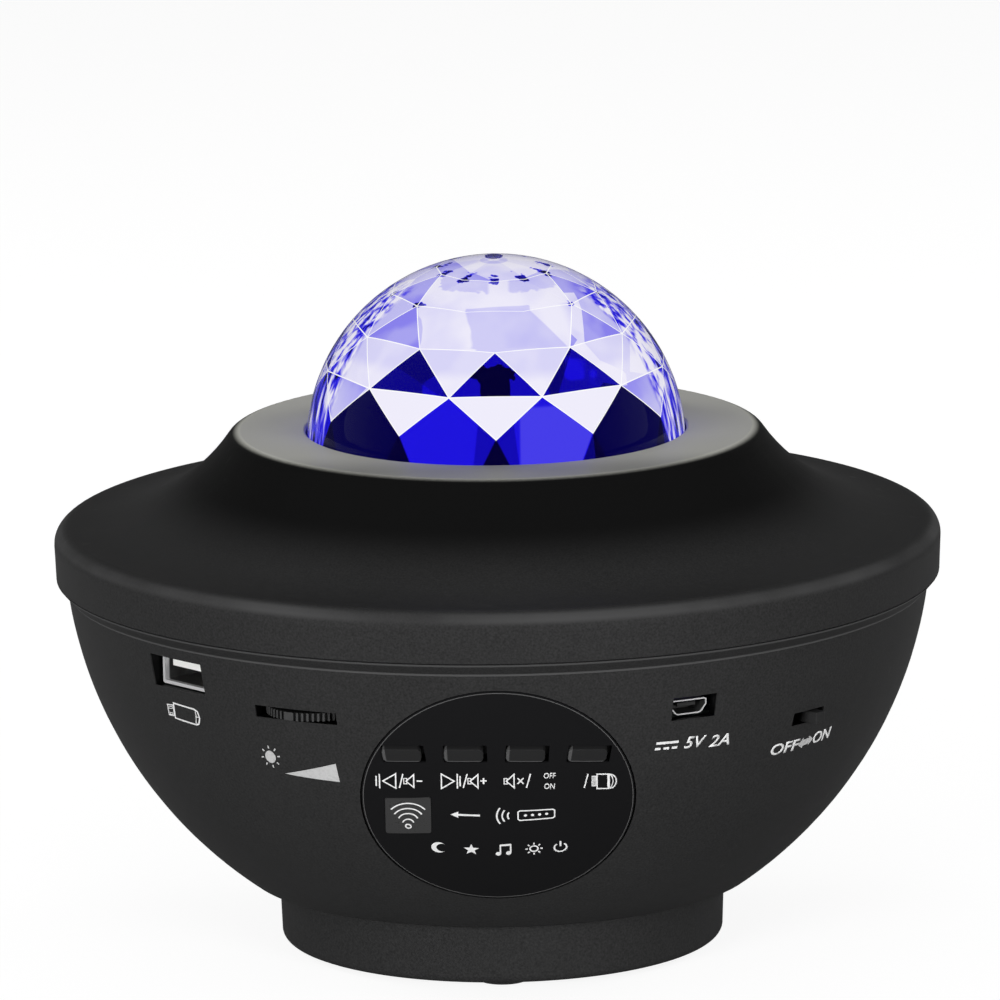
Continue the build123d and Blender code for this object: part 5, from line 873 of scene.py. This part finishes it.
# ================================================================ stage
class NIGHTLIGHT_OT_stage(bpy.types.Operator):
    """Camera, lamps, floor and world"""
    bl_idname = "night_light.stage"
    bl_label = "Stage"

    def execute(self, context):
        settings = context.scene.night_light_stage
        place = millimetres(*CAMERA_PLACE)
        bpy.ops.object.camera_add(location=place)
        camera = taken("camera")
        camera.data.lens = CAMERA_LENS
        camera.data.sensor_width = 36
        camera.data.clip_end = 100
        tilt = Matrix.Rotation(pi / 2 - CAMERA_PITCH, 4, "X") @ Matrix.Rotation(CAMERA_ROLL, 4, "Z")
        camera.matrix_world = Matrix.Translation(place) @ tilt
        context.scene.camera = camera

        lamps = (
            ("key_lamp", (-800, -1200, 160), 600, settings.key_power),
            ("fill_lamp", (800, -1200, 120), 600, settings.fill_power),
            ("rim_lamp_left", (-900, 500, 450), 400, settings.rim_power * 1.1),
            ("rim_lamp_right", (900, 500, 450), 400, settings.rim_power),
        )
        target = millimetres(0, 0, 60)
        for name, where, size, power in lamps:
            begin()
            bpy.ops.object.light_add(type="AREA", location=millimetres(*where))
            lamp = taken(name)
            lamp.data.energy = power
            lamp.data.size = size * MM
            # the dome mirrors no lamp
            lamp.visible_glossy = lamp.visible_transmission = False
            lamp.rotation_euler = (target - lamp.location).to_track_quat("-Z", "Y").to_euler()

        begin()
        bpy.ops.mesh.primitive_plane_add(size=2)
        floor = taken("floor")
        edit()
        bpy.ops.transform.resize(value=(6, 3.0, 1))
        bpy.ops.transform.translate(value=(0, -1.0, -0.02 * MM))
        leave()
        # its back edge, at 2 m, is drawn up into the backdrop
        choose(floor, "EDGE", lambda edge: all(end.y > 1.9 for end in ends(floor, edge)))
        bpy.ops.mesh.extrude_region_move(TRANSFORM_OT_translate={"value": (0, 0, 4)})
        leave()
        modify(floor, "BEVEL", width=0.8, segments=12, limit_method="ANGLE")
        smooth(floor, 60)
        f = new_finish("studio_floor")
        colour = settings.floor_colour
        cloudy = f.mix(f.noise(1.5, 3.0) * 0.3, colour, scaled(colour, 0.97))
        matt = f.node("BsdfDiffuse", {"Color": cloudy})
        plain = f.node("Emission", {"Color": rgba(1.0), "Strength": 1.2})
        dim = f.node("BsdfDiffuse", {"Color": rgba(settings.bounce)})
        out = f.blend(f.seen(), dim, f.blend(0.72, matt, plain))
        # the camera looks through it from behind and from below
        camera_ray = f.node("LightPath").outputs["Is Camera Ray"]
        away = Num(f, f.node("NewGeometry").outputs["Backfacing"]) * camera_ray
        out = f.blend(away, out, f.node("BsdfTransparent"))
        f.node("OutputMaterial", {"Surface": out.outputs[0]})
        floor.data.materials.append(f.owner)

        world = bpy.data.worlds.new("studio")
        context.scene.world = world
        f = Finish(world)
        strength = f.seen() * (1 - settings.sky) + settings.sky
        sky = f.node("Background", {"Color": rgba(1.0), "Strength": strength})
        f.node("OutputWorld", {"Surface": sky.outputs[0]})
        context.scene.view_settings.view_transform = "Standard"
        return {"FINISHED"}


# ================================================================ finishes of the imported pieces
class NIGHTLIGHT_OT_finishes(bpy.types.Operator):
    """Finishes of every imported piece, by its material slot"""
    bl_idname = "night_light.finishes"
    bl_label = "Finishes of the packed pieces"

    def execute(self, context):
        settings = context.scene.night_light_housing
        steel = (0.62, 0.62, 0.64)
        finishes = {
            "housing": housing_finish("cover_plastic", settings, True),
            "lower_housing": housing_finish("bowl_plastic", settings, False),
            "crystal": clear_finish("clear_plastic"),
            "label": moulded("label_film", settings.label_colour, 0.38, 0.25, 0.004, gloss=0.06),
            "buttons": button_finish("button_plastic"),
            "window": moulded("window_plastic", (0.035, 0.035, 0.0353), 0.3, 0.2, 0.002),
            "wheel": wheel_finish("wheel_plastic"),
            "knob": knob_finish("knob_plastic"),
            "sheet_steel": metal("nickel_sheet", (0.86, 0.86, 0.87), 0.3, (0, 1, 0), shine=0.4),
            "contact_gold": metal("gold_plating", (0.85, 0.62, 0.25), 0.2, (0, 1, 0)),
            "socket_insert": moulded("white_insert", (0.8, 0.8, 0.78), 0.4),
            "dark_insert": moulded("dark_insert", 0.03, 0.4),
            "inner_plastic": moulded("inner_plastic", (0.7, 0.7, 0.67), 0.5, 0.6, 0.02),
            "lens": clear_finish("lens_plastic", (0.97, 0.97, 1.0), 0.02),
            "rubber": rubber_finish("foot_rubber", 0.02),
            "screw_steel": metal("zinc_plating", steel, 0.3),
            "shaft_steel": metal("ground_steel", steel, 0.22, (1, 1, 0)),
            "sink_aluminium": metal("anodised_aluminium", (0.8, 0.81, 0.82), 0.35, (0, 1, 0)),
            "brass": metal("turned_brass", (0.78, 0.58, 0.27), 0.26, (1, 1, 0)),
            "board": board_finish("green_board", (0.015, 0.13, 0.05)),
            "white_board": board_finish("white_board", 0.7),
            "chip": moulded("chip_epoxy", (0.025, 0.025, 0.027), 0.55, 0.3, 0.02),
            "capacitor": capacitor_sleeve("capacitor_sleeve"),
            "connector": moulded("connector_nylon", (0.82, 0.8, 0.73), 0.45),
            "emitter": phosphor("phosphor"),
            "magnet": ferrite("ferrite"),
            "cone": paper_cone("cone_paper"),
            "surround": rubber_finish("surround_rubber", 0.015),
        }
        # painted shade: the boards and the switch's case that show in the openings are made nearly black
        shade_black_board = board_finish("shade_black_board", (0.004, 0.005, 0.005))
        special = {
            "power_board": shade_black_board, "usb_board": shade_black_board, "wheel_board": shade_black_board,
            "switch_case": moulded("shade_black_case", (0.006, 0.006, 0.0062), 0.5, gloss=0.1),
            "usb_a_shell": socket_shell("usb_shell_steel", USB_ANGLE, USB_MOUTH, 0.8 * MM),
            "micro_usb_shell": socket_shell("micro_shell_steel", MICRO_ANGLE, MICRO_MOUTH, 0.1 * MM),
        }
        for part in frame["record"]["subparts"]:
            node = frame["nodes"][part["node"]]
            finish = special.get(part["node"], finishes[part["material_slot"]])
            node.data.materials.clear()
            node.data.materials.append(finish)
        return {"FINISHED"}


# ================================================================ dome
def ring_height(settings, i, grow=0.0):
    """Height of one ring of corners above the floor."""
    return DOME_Z + (settings.facet_radius + grow) * sin(radians(CORNER_LATITUDES[i]))

def facet_rings(settings, grow):
    """(radius, height, turn) of each ring of corners, from the base to the last below the crown."""
    radius = settings.facet_radius + grow
    rings = []
    for i, latitude in enumerate(CORNER_LATITUDES):
        slope = radians(latitude)
        rings.append((radius * cos(slope), DOME_Z + radius * sin(slope), 0.5 * (i % 2)))
    apothem = rings[0][0] * cos(pi / settings.facets)
    lean = (apothem - rings[1][0]) / (rings[1][1] - rings[0][1])
    base_z = FLANGE_Z - 1 * MM
    base_r = rings[0][0] * (1 + lean * (rings[0][1] - base_z) / apothem)
    return [(base_r, base_z, 0.0)] + rings


def facet_solid(name, settings, grow=0.0):
    """Closed hull of the facets' corners."""
    parts = []
    step = 2 * pi / settings.facets
    for radius, height, turn in facet_rings(settings, grow):
        begin()
        bpy.ops.mesh.primitive_circle_add(
            vertices=settings.facets, radius=radius, location=(0, 0, height),
            rotation=(0, 0, turn * step + pi))
        parts.append(settle(taken("ring")))
    begin()
    bpy.ops.mesh.primitive_plane_add(size=1 * MM, location=(0, 0, DOME_Z + settings.facet_radius + grow))
    parts.append(settle(taken("tip")))
    edit()
    bpy.ops.mesh.merge(type="CENTER")
    leave()
    made = join(name, parts)
    edit()
    bpy.ops.mesh.convex_hull(use_existing_faces=False, join_triangles=False)
    bpy.ops.mesh.select_all(action="SELECT")
    bpy.ops.mesh.dissolve_limited(angle_limit=radians(0.5))
    leave()
    # the second and third rows meet along level edges, not along upright ones
    span = ring_height(settings, 2, grow) - ring_height(settings, 0, grow)

    def upright(edge):
        low, high = [end.z for end in ends(made, edge)]
        return abs(abs(high - low) - span) < 0.01 * MM

    choose(made, "EDGE", upright)
    bpy.ops.mesh.edge_rotate()
    leave()
    return tidy(made)


def facet_tone(centre, facets):
    """Tone of a facet by its row and its direction: 0 is navy, 0.3 blue and 1 nearly white."""
    height = (centre.z - DOME_Z) / MM
    steps = abs(atan2(centre.x, -centre.y)) / (2 * pi / facets)
    if height < 8:
        return (0.34, 0.02)[int(steps) % 2]
    if height < 14:
        return (1.0, 0.97, 0.86, 0.97, 0.9, 1.0)[round(steps)]
    if height < 18:
        return (0.22, 0.29, 0.88, 0.25, 0.3, 0.2)[round(steps)]
    if height < 21.5:
        return 0.9
    if steps < 0.3:
        return BROAD_TONE
    return 0.88 + 0.03 * cos(3 * steps + height)


class NIGHTLIGHT_OT_dome(bpy.types.Operator):
    """Clear dome with lit facets inside it"""
    bl_idname = "night_light.dome"
    bl_label = "Faceted dome"

    def execute(self, context):
        settings = context.scene.night_light_dome
        radius = settings.radius
        rise = FLANGE_TOP_Z - DOME_Z
        start = atan2(rise, sqrt(radius**2 - rise**2))
        end = pi / 2 - GATE_R / radius
        count = 48
        profile = [(0, FLANGE_Z), (FLANGE_R, FLANGE_Z), (FLANGE_R, FLANGE_TOP_Z)]
        for i in range(count + 1):
            slope = start + (end - start) * i / count
            profile.append((radius * cos(slope), DOME_Z + radius * sin(slope)))
        crown = DOME_Z + radius
        top = crown + 0.35 * MM
        profile += [(GATE_R, crown + 0.25 * MM), (GATE_R - 0.15 * MM, top), (0, top)]
        glass = lathe("dome_glass", profile, 144)
        core = facet_solid("core", settings)
        modify(glass, "BOOLEAN", object=core, operation="DIFFERENCE", solver="EXACT")
        bpy.data.objects.remove(core)
        smooth(glass, 20)
        dress(glass, "crystal", clear_finish("dome_crystal", sheen=0.12))
        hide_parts("crystal_dome")

        # thin lit shell in the facets' hollow
        shell = facet_solid("dome_facets", settings, SHELL_REACH)
        # broad facets above the dark row at the front: the upright edges inside them go
        low, middle, high = [ring_height(settings, i) for i in (2, 3, 4)]

        def inside_broad(edge):
            near, far = ends(shell, edge)
            centre = (near + far) / 2
            steps = abs(atan2(centre.x, -centre.y)) * settings.facets / (2 * pi)
            lower_row = low < centre.z < middle and steps < 1.0
            upper_row = middle < centre.z < high and steps < 1.5
            return abs(near.z - far.z) > 1 * MM and (lower_row or upper_row)

        choose(shell, "EDGE", inside_broad)
        bpy.ops.mesh.dissolve_edges(use_verts=False)
        leave()
        choose(shell, "FACE", lambda face: face.normal.z < -0.9)
        bpy.ops.mesh.delete(type="FACE")
        leave()
        tones = [facet_tone(face.center, settings.facets) for face in shell.data.polygons]
        tone = shell.data.attributes.new("tone", "FLOAT", "FACE")
        for i, value in enumerate(tones):
            tone.data[i].value = value
        for each in (glowing_facets("facet_light", settings), edge_light("facet_edges", settings)):
            shell.data.materials.append(each)
        # light lines lie between the lowest and the highest ring of corners
        lowest = ring_height(settings, 0) + 0.5 * MM
        highest = ring_height(settings, -1) + 0.3 * MM
        weight = shell.data.attributes.new("bevel_weight_edge", "FLOAT", "EDGE")
        for i, edge in enumerate(shell.data.edges):
            height = sum(end.z for end in ends(shell, edge)) / 2
            weight.data[i].value = 1.0 if lowest < height < highest else 0.0
        modify(shell, "BEVEL", width=settings.edge / 2, segments=1, limit_method="WEIGHT", material=1)
        modify(shell, "SOLIDIFY", thickness=0.6 * MM, offset=-1)
        dress(shell, "crystal")

        # moulding gate's ring at the crown, as radius and height above the crown in mm
        outline = ((0, -0.9), (1.2, -0.9), (1.5, -0.65), (1.5, -0.1), (1.2, 0.05), (0.8, -0.1), (0, -0.1))
        gate = lathe("dome_gate", [(r * MM, crown + z * MM) for r, z in outline], 48)
        smooth(gate, 40)
        dress(gate, "crystal", moulded("gate_blue", (0.01, 0.005, 0.3), 0.3))
        return {"FINISHED"}


# ================================================================ printed marks
class NIGHTLIGHT_OT_panel_marks(bpy.types.Operator):
    """Signs under the buttons, on the window and round the panel"""
    bl_idname = "night_light.panel_marks"
    bl_label = "Marks on the panel"

    def execute(self, context):
        settings = context.scene.night_light_marks
        ink = ink_finish("white_ink", settings.ink)
        place = skin_place(0, drop=PANEL_DROP)
        line = 0.245
        # signs under the first three buttons: their bars, arrows and loudspeakers
        marks = bars(line, (-22.93, 3.65, -22.92, 5.97), (-22.3, 3.3, -22.33, 6.56),
                     (-18.65, 4.07, -17.97, 7.39),
                     (-7.97, 5.2, -7.97, 8.55), (-7.46, 5.77, -7.46, 8.12), (-6.88, 5.41, -6.16, 8.61),
                     (3.12, 7.65, 4.2, 6.32), (3.1, 6.35, 4.2, 7.62), (4.73, 5.36, 5.49, 8.45),
                     (15.38, 4.09, 16.07, 7.14))
        marks += bars(line + 0.06, (-15.46, 6.18, -14.4, 6.28), (-3.72, 7.13, -2.58, 7.15),
                      (-3.15, 6.42, -3.15, 7.76))
        marks += [triangle((-21.92, 5.06), -19.2, 3.68, 7.47, line),
                  triangle((-8.33, 6.87), -11.02, 4.72, 8.5, line)]
        for sign in ((-16.9, 5.93, 3.5, 0.16), (-5.08, 7.01, 3.6), (1.57, 7.03, 3.62)):
            marks += loudspeaker(*sign)
        marks += [words("OFF", 7.87, 7.22, 2.2, 1.27, 0.0, 0.012, -0.1),
                  words("ON", 7.95, 4.8, 1.95, 1.3, 0.0, 0.012, -0.1)]
        # sign under the last button: a body, a block beside it and a bow
        body = [(17.63, 6.95), (19.91, 6.5), (19.89, 2.9), (17.61, 3.37)]
        block = [(16.77, 6.57), (17.6, 6.42), (17.58, 4.05), (16.75, 4.2)]
        bow = [(19.91, 6.5), (20.45, 6.3), (20.98, 5.85), (21.36, 5.1), (21.42, 4.35), (21.2, 3.5),
               (20.72, 2.95), (19.89, 2.9)]
        inner_bow = [(20.1, 6.3), (20.55, 5.6), (20.72, 4.6), (20.5, 3.6), (20.08, 3.0)]
        marks += [polygon(body, line), polygon(block, 0.14), polygon(bow, 0.22)]
        marks += [stroke(*near, *far, 0.16) for near, far in zip(inner_bow, inner_bow[1:])]
        marks += bars(0.13, (17.03, 4.2, 17.05, 6.5), (17.29, 4.2, 17.31, 6.5))
        # signs of a remote control: an arrow to the window, waves and a handset
        marks += [polygon([(-9.3, -1.1), (-7.9, -0.35), (-7.9, -1.85)]), stroke(-8.0, -1.1, -3.9, -1.1, 0.42)]
        marks += [arc(2.6, -1.2, radius, 0.3, 145, 215) for radius in (1.4, 2.4, 3.4)]
        handset = [(3.0, -2.2), (3.0, -0.3), (3.4, 0.05), (9.6, -0.05), (10.0, -0.4), (10.0, -2.1),
                   (9.6, -2.45), (3.4, -2.55)]
        marks += [polygon(handset, line)]
        marks += [polygon(disc_points(4.5 + 1.3 * i, -1.25 + 0.02 * i, 0.3, count=10)) for i in range(4)]
        # night, star, music, light and power signs
        moon = disc_points(-11.6, -10.0, 1.4, 50, 310, 20) + disc_points(-10.95, -10.0, 1.1, 292, 68, 16)
        tips = disc_points(-5.6, -10.1, 1.5, 90, 450, 5)
        notches = disc_points(-5.6, -10.1, 0.62, 126, 486, 5)
        star = [point for pair in zip(tips, notches) for point in pair]
        marks += [polygon(moon), polygon(star)]
        marks += [polygon(disc_points(u, v, 0.5, count=14)) for u, v in ((-0.6, -11.2), (1.3, -11.0))]
        marks += bars(0.28, (-0.22, -11.2, -0.22, -8.8), (1.68, -11.0, 1.68, -8.6))
        marks += [stroke(-0.3, -8.9, 1.78, -8.7, 0.45), ring(6.0, -10.1, 0.75, 0.3, 20)]
        rays = zip(disc_points(6.0, -10.1, 1.15, count=8), disc_points(6.0, -10.1, 1.6, count=8))
        marks += [stroke(*near, *far, 0.28) for near, far in rays]
        marks += [arc(10.9, -10.3, 1.15, 0.32, -235, 55), stroke(10.9, -10.0, 10.9, -8.6, 0.32)]
        label = frame["nodes"]["control_label"]
        print_marks("button_signs", marks, place, label, ink, settings)

        middle = -17.16
        signal = [ring(-17.15, -5.14, 0.5, 0.26, 20)]
        for radius, half, top in ((1.02, 80, -3.34), (1.86, 70, -1.88), (2.92, 60, -0.64), (3.91, 53, 0.62)):
            wave = arc(middle, top - radius, radius, 0.27, 90 - half, 90 + half)
            for vertex in wave.data.vertices:
                vertex.co.y += 0.165 * (vertex.co.x - middle * MM)
            signal.append(wave)
        print_marks("signal_sign", signal, place, frame["nodes"]["ir_window"], ink, settings)

        # a thin ring, a little lighter than the panel, just inside its edge; it is put on like the print
        grey = ink_finish("grey_ink", 0.085)
        print_marks("panel_ring", [ring(-0.5, 0.3, 24.9, 0.14, 128)], place, label, grey, settings, 3.0)
        return {"FINISHED"}


class NIGHTLIGHT_OT_side_marks(bpy.types.Operator):
    """Signs beside the sockets, the wheel and the switch"""
    bl_idname = "night_light.side_marks"
    bl_label = "Marks on the bowl"

    def execute(self, context):
        settings = context.scene.night_light_marks
        ink = ink_finish("side_ink", settings.ink)
        grey = ink_finish("pale_grey_ink", 0.5)
        bowl = frame["nodes"]["bowl_shell"]
        line = 0.3

        body = [(-2.04, 2.13), (3.76, 1.81), (4.73, 1.32), (4.93, -0.08), (4.22, -1.51), (3.36, -1.84),
                (-2.68, -1.4)]
        plug = [(-4.04, 1.4), (-2.1, 1.6), (-2.5, -0.9), (-4.4, -1.06)]
        pins = [[(-3.69, 1.02), (-2.52, 1.15), (-2.61, 0.61), (-3.79, 0.47)],
                [(-3.85, -0.3), (-2.84, -0.25), (-2.89, -0.73), (-3.93, -0.82)]]
        stick = [polygon(body, line), polygon(plug, 0.22)] + [polygon(pin, 0.12) for pin in pins]
        stick += bars(0.17, (4.0, 1.6, 3.95, 0.34), (3.95, 0.34, 3.25, -1.7), (3.75, 0.1, 4.6, 0.03))

        turns = [2 * pi * i / 24 for i in range(24)]
        sun = [polygon([(0.19 + 1.15 * cos(turn), 0.19 + 1.35 * sin(turn) + 0.13 * cos(turn))
                        for turn in turns])]
        for turn in turns[::3]:
            near, far = [(0.22 + reach * 0.87 * cos(turn), 0.2 + reach * (sin(turn) + 0.13 * cos(turn)))
                         for reach in (1.82, 2.42)]
            sun.append(stroke(*near, *far, 0.26))
        wedge = [polygon([(-5.59, -1.16), (5.77, 2.3), (5.76, -1.78)])]

        # direct-current sign, and the socket's voltage and current
        dashes = [(u, -0.05, u + 1.1, -0.05) for u in (-7.0, -5.3, -3.6)]
        rating = bars(0.5, (-6.9, 1.15, -2.4, 1.15), *dashes)
        rating += [words("5V", -1.1, -0.55, 4.4, 2.5, 0.2, 0.012, -0.04),
                   words("2A", 4.2, -0.95, 4.5, 2.5, 0.2, 0.012, -0.05)]

        switch = [words("OFF", -8.19, -1.75, 7.3, 2.5, 0.0, 0.018, 0.02),
                  words("ON", 3.15, -1.3, 5.1, 2.6, 0.0, 0.018, 0.03)]
        arrow = [polygon([(-1.0, -0.6), (0.05, 0.85), (0.1, 0.35), (1.7, 0.5), (1.65, 1.0), (2.95, 0.05),
                          (1.95, -1.25), (1.9, -0.75), (0.35, -1.05), (0.4, -1.5)])]
        signs = (
            ("stick_sign", stick, -48.3, 56.3, ink), ("sun_sign", sun, -33.6, 50.5, grey),
            ("wedge_sign", wedge, -27.5, 48.5, grey), ("rating_words", rating, 26.6, 53.0, ink),
            ("switch_words", switch, 47.3, 49.3, ink), ("switch_arrow", arrow, 47.3, 49.3, grey),
        )
        for name, marks, angle, height, finish in signs:
            print_marks(name, marks, skin_place(angle, height), bowl, finish, settings)
        return {"FINISHED"}


# ================================================================ sidebar and registration
SETTINGS = (
    ("night_light_stage", StageSettings),
    ("night_light_housing", HousingSettings),
    ("night_light_dome", DomeSettings),
    ("night_light_marks", MarkSettings),
)
OPERATORS = (
    NIGHTLIGHT_OT_stage,
    NIGHTLIGHT_OT_finishes,
    NIGHTLIGHT_OT_dome,
    NIGHTLIGHT_OT_panel_marks,
    NIGHTLIGHT_OT_side_marks,
)


class NIGHTLIGHT_PT_sidebar(bpy.types.Panel):
    """Settings and operators of the night light"""
    bl_idname = "NIGHTLIGHT_PT_sidebar"
    bl_label = "Night light"
    bl_space_type = "VIEW_3D"
    bl_region_type = "UI"
    bl_category = "Night light"

    def draw(self, context):
        for name, group in SETTINGS:
            box = self.layout.box()
            for key in group.__annotations__:
                box.prop(getattr(context.scene, name), key)
        for operator in OPERATORS:
            self.layout.operator(operator.bl_idname)


CLASSES = tuple(group for _, group in SETTINGS) + OPERATORS + (NIGHTLIGHT_PT_sidebar,)


def register():
    for each in CLASSES:
        bpy.utils.register_class(each)
    for name, group in SETTINGS:
        setattr(bpy.types.Scene, name, bpy.props.PointerProperty(type=group))


def unregister():
    for name, _ in SETTINGS:
        delattr(bpy.types.Scene, name)
    for each in reversed(CLASSES):
        bpy.utils.unregister_class(each)


def main():
    register()
    begin()
    bpy.ops.night_light.stage()
    bpy.ops.night_light.finishes()
    bpy.ops.night_light.dome()
    bpy.ops.night_light.panel_marks()
    bpy.ops.night_light.side_marks()


if __name__ == "__main__":
    main()
